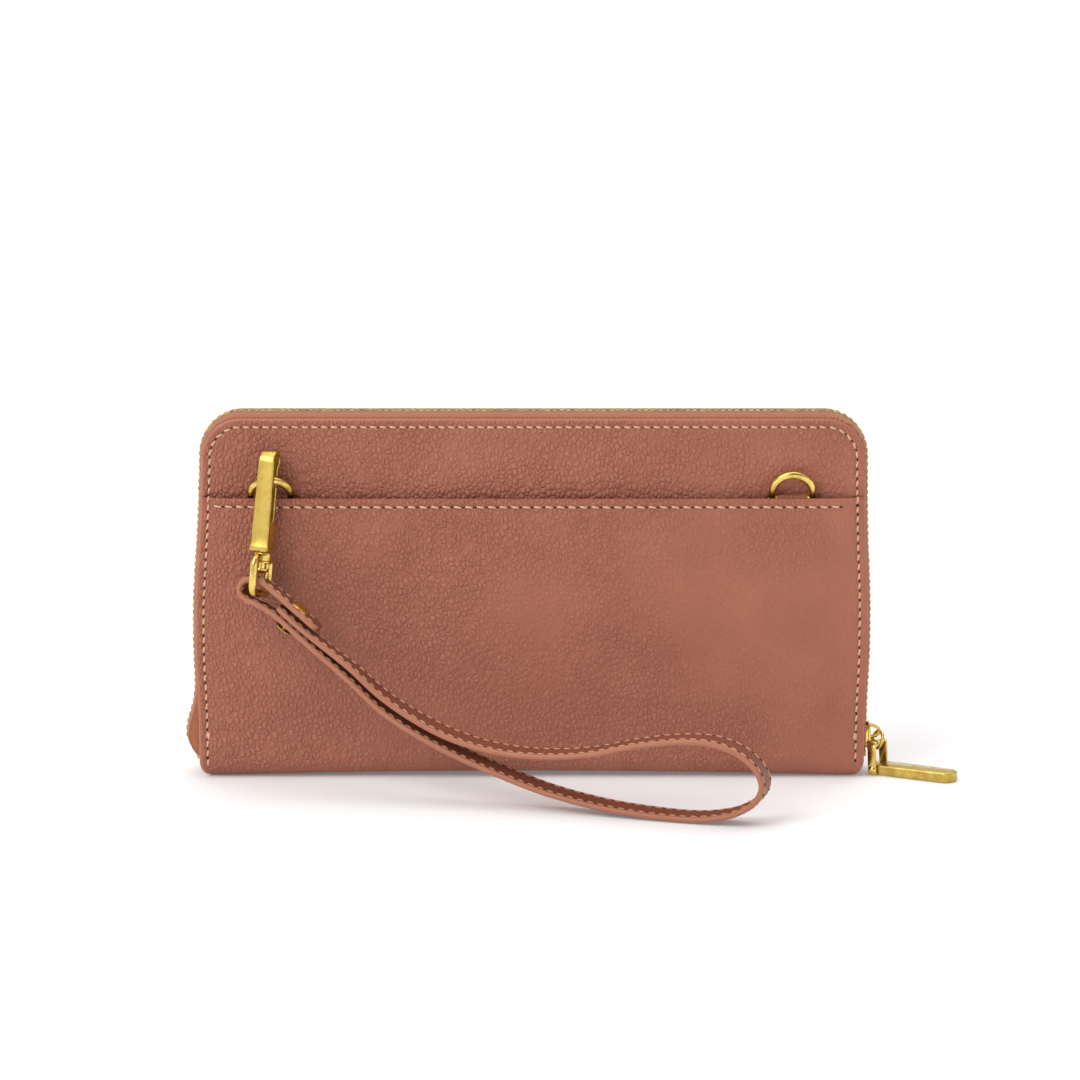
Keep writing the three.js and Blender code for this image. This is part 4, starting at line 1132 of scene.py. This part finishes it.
BAR_HALF, BAR_NEAR, BAR_FAR, BAR_CUT = 3.5, -1.6, 25.2, 1.9
bar_shape = [(BAR_NEAR, -BAR_HALF + BAR_CUT), (BAR_NEAR + BAR_CUT, -BAR_HALF), (BAR_FAR - BAR_CUT, -BAR_HALF),
             (BAR_FAR, -BAR_HALF + BAR_CUT), (BAR_FAR, BAR_HALF - BAR_CUT), (BAR_FAR - BAR_CUT, BAR_HALF),
             (BAR_NEAR + BAR_CUT, BAR_HALF), (BAR_NEAR, BAR_HALF - BAR_CUT)]
bar_frame = frame_of(bar_along, bar_across, Vector((0, 0, 1)), Vector((pin.x, pin.y, 0)))
plate_piece("pull_bar_brass", bar_shape, (0.1, 3.1), bar_frame, brushed_brass, "pull_bar", "brushed_brass",
            ["pull_bar"], edge=0.4)

# %% [markdown]
# ## D-rings and their tabs
#
# Each D-ring is one bent wire, its straight side held in a strip of hide whose ends are sewn
# into the pocket. The strip is folded over the bar like a belt loop.

# %% Bend the D-rings and fold the tabs
RING_WIRE, RING_HALF, RING_REACH, TAB_W = 1.15, 5.95, 8.5, 9.0


def d_ring_line():
    """Round the D in local x and z: along the straight bar, up, over the half circle and down."""
    leg, bend = RING_REACH - RING_HALF, 1.5
    line = [(x, 0) for x in np.linspace(-RING_HALF + bend, RING_HALF - bend, 8)]
    line += arc(RING_HALF - bend, bend, bend, -90, 0, 6)[1:]
    line += arc(0, leg, RING_HALF, 0, 180, 36)
    line += arc(-RING_HALF + bend, bend, bend, 180, 270, 6)[:-1]
    return line


def tab_sheet(name, x_middle, bar):
    inner_r = RING_WIRE + 0.18
    path = [(-inner_r, z) for z in np.linspace(-5, -0.6, 8)]
    path += [(-inner_r * math.cos(a), inner_r * math.sin(a)) for a in np.radians(np.linspace(0, 180, 19))]
    path += [(inner_r, z) for z in np.linspace(-0.6, -5, 8)]
    across = np.linspace(-TAB_W / 2, TAB_W / 2, 15)
    points = [(x_middle + x, bar.y + y, bar.z + z) for y, z in path for x in across]
    tab = make_piece(name, points, [f[::-1] for f in grid_faces(len(path), len(across))], hide, None,
                     "pebbled_leather", [name.replace("_leather", "")])
    set_rim(tab, np.tile(1 - ramp(TAB_W / 2 - np.abs(across), 0.05, 0.6), len(path)))
    thicken(tab, 0.55, 0.15, offset=1)
    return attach(tab, "front_cover")


for label in ("left", "right"):
    bar = joint_at(f"d_ring_{label}_hinge")
    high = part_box(f"d_ring_{label}")[1].z / MM
    tilt = math.acos((high - RING_WIRE - bar.z) / RING_REACH)
    line = [bar + Vector((x, -z * math.sin(tilt), z * math.cos(tilt))) for x, z in d_ring_line()]
    make_piece(f"d_ring_{label}_wire", *tube_mesh(line, RING_WIRE, 18), smooth_brass, f"d_ring_{label}",
               "brushed_brass", [f"d_ring_{label}"])
    tab_sheet(f"d_ring_tab_{label}_leather", bar.x, bar)

# %% [markdown]
# ## The snap hook
#
# The hook is a flat brass strip bent over at the top into a nose, with a foot below that
# holds the swivel. Two ears behind the plate carry the gate's pin, and a leaf spring presses
# the gate against the nose. The strip narrows towards its bend and flares at its foot, so it
# is a loft: a rounded rectangle at each station, joined to the next.

# %% Loft the hook's strip and foot
hook_x = joint_axis("gate_hinge")
hook_up = -joint_axis("swivel")
hook_out = hook_x.cross(hook_up).normalized()
hook_origin = joint_at("hook_swing")
hook_frame = frame_of(hook_x, hook_up, hook_out, hook_origin)
gate_pin = hook_frame.inverted() @ joint_at("gate_hinge")
hub_at = hook_frame.inverted() @ joint_at("swivel")


def rounded_loop(half_x, half_y, r, steps=3):
    """A rounded rectangle about the origin, as points in its own plane."""
    loop = []
    for sx, sy, start in ((1, 1, 0), (-1, 1, 90), (-1, -1, 180), (1, -1, 270)):
        loop += arc(sx * (half_x - r), sy * (half_y - r), r, start, start + 90, steps)
    return loop


def strip_mesh(stations, r=0.32):
    """Rounded rectangles between an outer and an inner point (up, out), each with its own width."""
    points, n = [], 16
    for outer, inner_point, width in stations:
        middle = [(a + b) / 2 for a, b in zip(outer, inner_point)]
        reach = math.dist(outer, inner_point) / 2
        way = [(a - b) / (2 * reach) for a, b in zip(outer, inner_point)]
        for x, t in rounded_loop(width / 2, reach, r):
            points.append((x, middle[0] + way[0] * t, middle[1] + way[1] * t))
    return points, grid_faces(len(stations), n, round_columns=True) + end_faces(len(stations), n)


PLATE_OUT, PLATE_IN, NOSE_OUT, NOSE_IN, BOW, FOOT = 4.0, 2.4, -3.1, -1.9, 5.35, -21.0
outer_r, outer_mid = (PLATE_OUT - NOSE_OUT) / 2, (PLATE_OUT + NOSE_OUT) / 2
inner_r, inner_mid = (PLATE_IN - NOSE_IN) / 2, (PLATE_IN + NOSE_IN) / 2
stations = [((y, PLATE_OUT), (y, PLATE_IN), 5.35 - 0.45 * (y + 18) / 23)
            for y in np.linspace(-18, BOW - 0.2, 12)]
for a in np.radians(np.linspace(0, 180, 19)):
    stations.append(((BOW + outer_r * math.sin(a), outer_mid + outer_r * math.cos(a)),
                     (BOW + inner_r * math.sin(a), inner_mid + inner_r * math.cos(a)),
                     4.85 - 0.9 * a / math.pi))
stations += [((y, NOSE_OUT), (y, NOSE_IN), width)
             for y, width in ((4.6, 3.6), (3.6, 3.1), (1.5, 2.9), (-1.3, 2.9),
                                                                  (-1.5, 2.7))]
foot_stations = [((-17.3, PLATE_OUT), (-17.5, PLATE_IN), 5.35), ((-18.4, 4.05), (-18.2, -2.3), 5.4),
                 ((-19.6, 4.15), (-19.6, -2.6), 5.7), ((-20.5, 4.3), (-20.5, -2.6), 5.85),
                 ((FOOT, 4.2), (FOOT, -2.5), 5.7)]
hook_mesh = join_meshes([strip_mesh(stations), strip_mesh(foot_stations)])
make_piece("snap_hook_brass", placed_points(hook_mesh[0], hook_frame), hook_mesh[1], brushed_brass, "hook",
           "brushed_brass", ["hook_body"], sharp=40)

# %% Cut the ears, the gate and its spring
section_frame = hook_frame @ frame_of((0, 0, 1), (0, 1, 0), (-1, 0, 0), (0, 0, 0))
ear_shape = [(3.0, -12.8), (3.0, -18.1), (-2.6, -18.1), *arc(gate_pin.z, gate_pin.y, 1.45, 215, 80, 12)]
for side, label in ((-1, "left"), (1, "right")):
    depth = sorted((side * 1.85, side * 2.65))
    plate_piece(f"hook_ear_{label}", ear_shape[::-1], depth, section_frame, smooth_brass, "hook",
                "brushed_brass",
                edge=0.15)
gate_shape = [(-3.0, -1.9), (-3.0, -13.4), *arc(gate_pin.z, gate_pin.y, 1.42, 170, 300, 8), (-0.4, -14.6),
              (-0.4, -13.2), (-1.0, -12.5), (-1.85, -12.0), (-1.9, -3.2), (-1.7, -1.9)]
plate_piece("gate_brass", gate_shape, (-1.6, 1.6), section_frame, smooth_brass, "hook_gate", "brushed_brass",
            ["hook_gate"], edge=0.22)
pin_profile = [(0.01, -2.85), (0.45, -2.82), (0.8, -2.7), (0.6, -2.6), (0.6, 2.6), (0.8, 2.7), (0.45, 2.82),
               (0.01, 2.85)]
gate_pin_frame = hook_frame @ frame_of((0, 1, 0), (1, 0, 0), (0, 0, -1), gate_pin)
turned_piece("gate_pin_brass", pin_profile, 24, gate_pin_frame, "hook", ["gate_pin"])
leaf_shape = [(2.3, -13.3), (2.0, -13.3), (1.2, -11.0), (-1.35, -5.2), (-1.1, -5.1), (1.5, -10.9)]
leaf = plate_piece("gate_leaf_spring", leaf_shape[::-1], (-1.1, 1.1), section_frame, brushed_brass, None,
            "brushed_brass", ["gate_spring"], edge=0.06)
# The leaf bends with the gate it presses on.
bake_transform(leaf)

# %% [markdown]
# ## The swivel
#
# The hook's foot turns in a collar that is one casting with the ring below it. A stud goes
# through the collar, and its head is spread underneath.

# %% Turn the swivel
ring_up = hook_up
ring_across = -joint_axis("strap_hinge")
swivel_frame = frame_of(ring_across, ring_up, ring_across.cross(ring_up), joint_at("swivel"))
LOOP_HALF, LOOP_DROP, LOOP_BEND = 6.55, 10.6, 2.4
loop = [(x, 0) for x in np.linspace(-LOOP_HALF + LOOP_BEND, LOOP_HALF - LOOP_BEND, 8)]
loop += arc(LOOP_HALF - LOOP_BEND, -LOOP_BEND, LOOP_BEND, 90, 0, 10)[1:]
loop += arc(LOOP_HALF - LOOP_BEND, -LOOP_DROP + LOOP_BEND, LOOP_BEND, 0, -90, 10)
loop += arc(-LOOP_HALF + LOOP_BEND, -LOOP_DROP + LOOP_BEND, LOOP_BEND, -90, -180, 10)
loop += arc(-LOOP_HALF + LOOP_BEND, -LOOP_BEND, LOOP_BEND, 180, 90, 10)[:-1]
loop_mesh = tube_mesh([(x, y, 0) for x, y in loop], RING_WIRE, 18)
collar_profile = [(1.3, 1.6), (2.2, 1.62), (2.6, 1.5), (2.75, 1.2), (2.75, -0.75), (2.6, -0.95),
                  (2.45, -1.05), (2.6, -1.12), (2.85, -1.3), (2.85, -1.5), (2.6, -1.65), (1.3, -1.65),
                  (1.3, 1.6)]
swivel_mesh = join_meshes([loop_mesh, lathe_mesh(collar_profile)])
make_piece("swivel_ring_brass", placed_points(swivel_mesh[0], swivel_frame), swivel_mesh[1], smooth_brass,
           "swivel_ring", "brushed_brass", ["swivel_ring"])
stud_profile = [(0.01, FOOT + 0.4), (1.0, FOOT + 0.4), (1.0, -26.2), (2.1, -26.25), (2.2, -26.5),
                (2.0, -27.0), (1.5, -27.4), (0.8, -27.62), (0.01, -27.7)]
stud_frame = hook_frame @ Matrix.Translation(hub_at)
turned_piece("swivel_stud_brass", [(r, y - hub_at.y) for r, y in stud_profile], 28, stud_frame, "hook",
             ["swivel_rivet"])

# %% [markdown]
# ## The inside
#
# Nothing of it shows while the wallet is shut, but it opens: each cover is lined with a plain
# weave and carries card pockets, a zipped coin pocket stands in the middle, and four folded
# gussets keep the sides together. Each is a sheet, and the pockets' sheets have a turned, sewn edge.

# %% Line the covers and sew the pockets
def cloth_sheet(name, node, body, inward, corner=0.0, hem=True, drape=0.08):
    """A sheet in a CAD node's place. inward is +1 or -1, the side of it that shows along Y."""
    low, high = [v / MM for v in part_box(node)]
    half, bottom, top = high.x, low.z, high.z
    levels = list(np.linspace(bottom, top - max(corner, 4), 24))
    levels += list(top - corner + corner * np.sin(np.radians(np.linspace(8, 90, 12)))) if corner else list(
        top - np.array([3.4, 2.7, 2.2, 1.8, 1.4, 0.9, 0.4, 0]))
    across = np.concatenate([np.linspace(-1, -0.97, 4), np.linspace(-0.94, 0.94, 60),
                             np.linspace(0.97, 1, 4)])
    face = (high.y if inward > 0 else low.y) - inward * 0.1
    points = []
    for z in levels:
        over = max(0.0, z - (top - corner))
        width = half - corner + math.sqrt(max(0.0, corner ** 2 - over ** 2)) if corner else half
        x = across * width
        y = drape * np.sin(x / 13 + z / 31) * np.sin(z / 17 + x / 41)
        if hem:
            y = y - 0.1 * bell(top - z, 1.8, 0.45)
        y = face + inward * np.clip(y, -0.1, 0.1)
        points += list(np.stack([drawn_in(x, np.full_like(x, z)), y, np.full_like(x, z)], 1))
    faces = grid_faces(len(levels), len(across))
    if inward > 0:
        faces = [f[::-1] for f in faces]
    sheet = make_piece(name, points, faces, lining_cloth, None, "lining_fabric", [node])
    thicken(sheet, max(high.y - low.y - 0.12, 0.18), 0.07)
    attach(sheet, body)
    if hem:
        seam_x = np.arange(-half + 2, half - 2, 1.0)
        line = np.stack([seam_x, np.full_like(seam_x, face + inward * -0.08),
                         np.full_like(seam_x, top - 1.8)], 1)
        ups = np.tile([0.0, inward, 0.0], (len(seam_x), 1))
        sew(name, [(line, ups)], 2.4, body, radius=0.13, holes=False, slot="lining_fabric")
    return sheet


LINING_CORNER = CORNER - 1.5
cloth_sheet("lining_front_cloth", "front_lining", "front_cover", 1, LINING_CORNER, hem=False)
cloth_sheet("lining_back_cloth", "back_lining", "back_cover", -1, LINING_CORNER, hem=False)
for i in (1, 2):
    cloth_sheet(f"card_pocket_front_{i}", f"card_slot_front_{i}", "front_cover", 1)
for i in (1, 2, 3):
    cloth_sheet(f"card_pocket_back_{i}", f"card_slot_back_{i}", "back_cover", -1)
cloth_sheet("coin_wall_front_cloth", "coin_wall_front", "coin_pocket", -1, drape=0.04)
cloth_sheet("coin_wall_rear_cloth", "coin_wall_rear", "coin_pocket", 1, drape=0.04)
cloth_sheet("coin_band_cloth", "coin_top_band", "coin_pocket", -1, drape=0.03)

# %% Fold the gussets
def gusset_sheet(label, side, outer_y, inner_y):
    """A cloth folded in a V that points into the wallet; its two edges follow two bodies."""
    place = "front" if outer_y < 0 else "back"
    middle = (outer_y + inner_y) / 2
    section = []
    for t in np.linspace(-1, 1, 25):
        fold = math.sqrt(t * t + 0.01) - 0.1
        section.append((side * (89.0 + 7.0 * fold), middle + t * (outer_y - inner_y) / 2 * 0.97))
    levels = np.linspace(10, 98, 40)
    points = [(x + 0.12 * math.sin(z / 9) * (1 if abs(y - middle) < 2 else 0.3), y, z)
              for z in levels for x, y in section]
    node = f"gusset_{place}_{label}"
    sheet = make_piece(f"{node}_cloth", points, grid_faces(len(levels), len(section)), lining_cloth, None,
                       "lining_fabric", [node])
    thicken(sheet, 0.3, 0.08, segments=1, offset=0, sharper_than=60)
    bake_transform(sheet)


lining_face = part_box("front_lining")[1].y / MM + 0.3
back_lining_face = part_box("back_lining")[0].y / MM - 0.3
coin_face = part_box("coin_wall_rear")[1].y / MM + 0.3
for label, side in (("left", -1), ("right", 1)):
    gusset_sheet(label, side, lining_face, -coin_face)
    gusset_sheet(label, side, back_lining_face, coin_face)

# %% Zip the coin pocket
tape_low, tape_high = [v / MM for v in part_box("coin_tape_lower")]
upper_low, upper_high = [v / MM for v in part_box("coin_tape_upper")]
for name, node, low, high in (("coin_tape_lower_knit", "coin_tape_lower", tape_low, tape_high),
                              ("coin_tape_upper_knit", "coin_tape_upper", upper_low, upper_high)):
    columns_x = np.linspace(low.x, high.x, 90)
    levels = np.linspace(low.z, high.z, 7)
    points = [(x, low.y + 0.06 * math.sin(x / 6 + z), z) for z in levels for x in columns_x]
    strip = make_piece(name, points, grid_faces(7, 90), tape_cloth, None, "zip_tape", [node])
    thicken(strip, high.y - low.y - 0.08, 0.08)
    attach(strip, "coin_pocket")

teeth_low, teeth_high = [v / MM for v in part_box("coin_teeth_lower")]
zip_z = (teeth_high.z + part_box("coin_teeth_upper")[0].z / MM) / 2
COIN_PITCH, COIN_TOOTH = 1.0, 0.45
for label, side, shift in (("lower", 1, 0.0), ("upper", -1, COIN_PITCH / 2)):
    places = [((x, (teeth_low.y + teeth_high.y) / 2 + 0.1, zip_z), (side, 0, 0), (0, 0, side), (0, -1, 0))
              for x in np.arange(teeth_low.x + 0.6 + shift, teeth_high.x - 0.4, COIN_PITCH)]
    run_of_teeth(f"coin_teeth_{label}_brass", places, COIN_TOOTH, "coin_pocket", [f"coin_teeth_{label}"])

slider_low, slider_high = [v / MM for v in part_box("coin_slider")]
pull_low, pull_high = [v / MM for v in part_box("coin_pull")]
flat_frame = frame_of((1, 0, 0), (0, 0, 1), (0, -1, 0), (0, 0, 0))
sx, sz = (slider_low.x + slider_high.x) / 2, (slider_low.z + slider_high.z) / 2
coin_slider_shape = [(sx - 3.5, sz - 1.5), (sx - 2.6, sz - 2.4), (sx + 1.4, sz - 2.2), (sx + 3.5, sz - 1.5),
                     (sx + 3.5, sz + 1.5), (sx + 1.4, sz + 2.2), (sx - 2.6, sz + 2.4), (sx - 3.5, sz + 1.5)]
plate_piece("coin_slider_brass", coin_slider_shape, (1.4, 2.1), flat_frame, smooth_brass, "coin_slider",
            "zip_brass", ["coin_slider"], edge=0.2)
pull_hub = joint_at("coin_pull_hinge")
plate_piece("coin_slider_lug",
            [(pull_hub.x - 1, sz - 0.4), (pull_hub.x + 1, sz - 0.4), (pull_hub.x + 1, sz + 0.4),
             (pull_hub.x - 1, sz + 0.4)], (2.0, 3.2), flat_frame, smooth_brass, "coin_slider", "zip_brass",
             edge=0.15)
puller = [(pull_hub.x - 2.4, pull_high.z), (pull_hub.x + 2.4, pull_high.z), (pull_hub.x + 3, pull_high.z - 1),
          *arc(pull_hub.x, pull_low.z + 2.2, 2.2, 0, -180, 10), (pull_hub.x - 3, pull_high.z - 1)]
plate_piece("coin_pull_brass", puller[::-1], (2.6, 3.0), flat_frame, brushed_brass, "coin_pull", "zip_brass",
            ["coin_pull"], edge=0.12)

# %% [markdown]
# ## The stiffeners
#
# Grey board stiffens both covers and the spine. It is never seen, so the CAD solids stay and
# only get the look of pressed paper fibre.

# %% Finish the boards
board, board_shader = new_material("pressed_grey_board", Roughness=0.9)
board_place = add_node(board, "ShaderNodeTexCoord").outputs["Object"]
fibres = add_node(board, "ShaderNodeTexNoise", {"Vector": board_place, "Scale": 900, "Detail": 5})
board_tone = add_node(board, "ShaderNodeValToRGB", {"Fac": fibres.outputs[0]},
                      [(0.3, linear("#a89e90")), (0.7, linear("#cfc6b8"))])
wire(board, board_tone.outputs["Color"], board_shader, "Base Color")
for name in ("front_board", "back_board", "spine_board"):
    nodes[name].material_slots[0].material = board

# %% [markdown]
# ## Floor and light
#
# The wallet stands on a white sweep in a bright studio. The sweep turns up far away, all round,
# and its lit rim keeps the view white from every side. The lights are suns with wide discs,
# which act as very large soft boxes far away, so the sweep is equally bright everywhere. The
# strongest comes from above and to the left and models the grain; one from overhead whitens
# the sweep, and a weak one fills from the right. A small soft box near the hook's side makes
# that end of the wallet a little brighter than the other.

# %% Make the floor, the lights and the sky
def floor_material():
    material, shader = new_material("white_sweep", Roughness=0.75)
    place = add_node(material, "ShaderNodeTexCoord").outputs["Object"]
    speck = add_node(material, "ShaderNodeTexNoise", {"Vector": place, "Scale": 40})
    tone = add_node(material, "ShaderNodeValToRGB", {"Fac": speck.outputs[0]},
                    [(0.3, (0.80, 0.80, 0.80, 1)), (0.7, (0.81, 0.81, 0.81, 1))])
    wire(material, tone.outputs["Color"], shader, "Base Color")
    shader.inputs["Emission Color"].default_value = (1, 1, 1, 1)
    height = add_node(material, "ShaderNodeSeparateXYZ", {0: place})
    glow = add_node(material, "ShaderNodeMapRange", {"Value": height.outputs[2], "From Max": 0.25,
                                                     "To Min": 0.13, "To Max": 0.6})
    wire(material, glow.outputs[0], shader, "Emission Strength")
    return material


SWEEP, WALL, RING_STEPS = 9200, 1800, 64
radii = [1, 1500, 4000, *np.linspace(6500, SWEEP, 10)]
floor_points = [(r * math.cos(a), r * math.sin(a), WALL * float(ramp(r, 6500, SWEEP)) - 0.02) for r in radii
                for a in np.linspace(0, 2 * math.pi, RING_STEPS, endpoint=False)]
floor_faces = grid_faces(len(radii), RING_STEPS, round_columns=True) + [tuple(range(RING_STEPS))]
floor = make_piece("white_sweep_floor", floor_points, floor_faces, floor_material())


def soft_sun(name, toward, strength, width):
    """A sun in the direction toward, whose disc is width degrees across."""
    data = bpy.data.lights.new(name, "SUN")
    data.energy, data.angle = strength, math.radians(width)
    light = bpy.data.objects.new(name, data)
    light.rotation_euler = Vector(toward).to_track_quat("Z", "Y").to_euler()
    bpy.context.scene.collection.objects.link(light)


soft_sun("key_light", (-0.62, -0.58, 0.88), 1.15, 42)
soft_sun("top_light", (0.05, 0.3, 1.0), 1.45, 70)
soft_sun("fill_light", (0.8, -0.6, 0.35), 0.15, 60)

lamp_data = bpy.data.lights.new("near_box", "AREA")
lamp_data.energy, lamp_data.size = 1.0, 0.3
lamp = bpy.data.objects.new("near_box", lamp_data)
lamp.location = (-0.32, -0.42, 0.42)
lamp.rotation_euler = (lamp.location - Vector((-0.03, 0, 0.07))).to_track_quat("Z", "Y").to_euler()
bpy.context.scene.collection.objects.link(lamp)

world = bpy.data.worlds.new("studio")
bpy.context.scene.world = world
world.use_nodes = True
# The room is darker in front of the sweep, where the camera stands, which gives brass its dark sides.
backdrop = world.node_tree.nodes["Background"]
backdrop.inputs["Color"].default_value = (1, 1, 1, 1)
heading = world.node_tree.nodes.new("ShaderNodeTexCoord")
parts = world.node_tree.nodes.new("ShaderNodeSeparateXYZ")
depth = world.node_tree.nodes.new("ShaderNodeMapRange")
depth.inputs["From Min"].default_value, depth.inputs["From Max"].default_value = -0.9, 0.2
depth.inputs["To Min"].default_value, depth.inputs["To Max"].default_value = 0.15, 0.62
world.node_tree.links.new(heading.outputs["Generated"], parts.inputs[0])
world.node_tree.links.new(parts.outputs[1], depth.inputs["Value"])
world.node_tree.links.new(depth.outputs[0], backdrop.inputs["Strength"])
bpy.context.scene.view_settings.view_transform = "Standard"
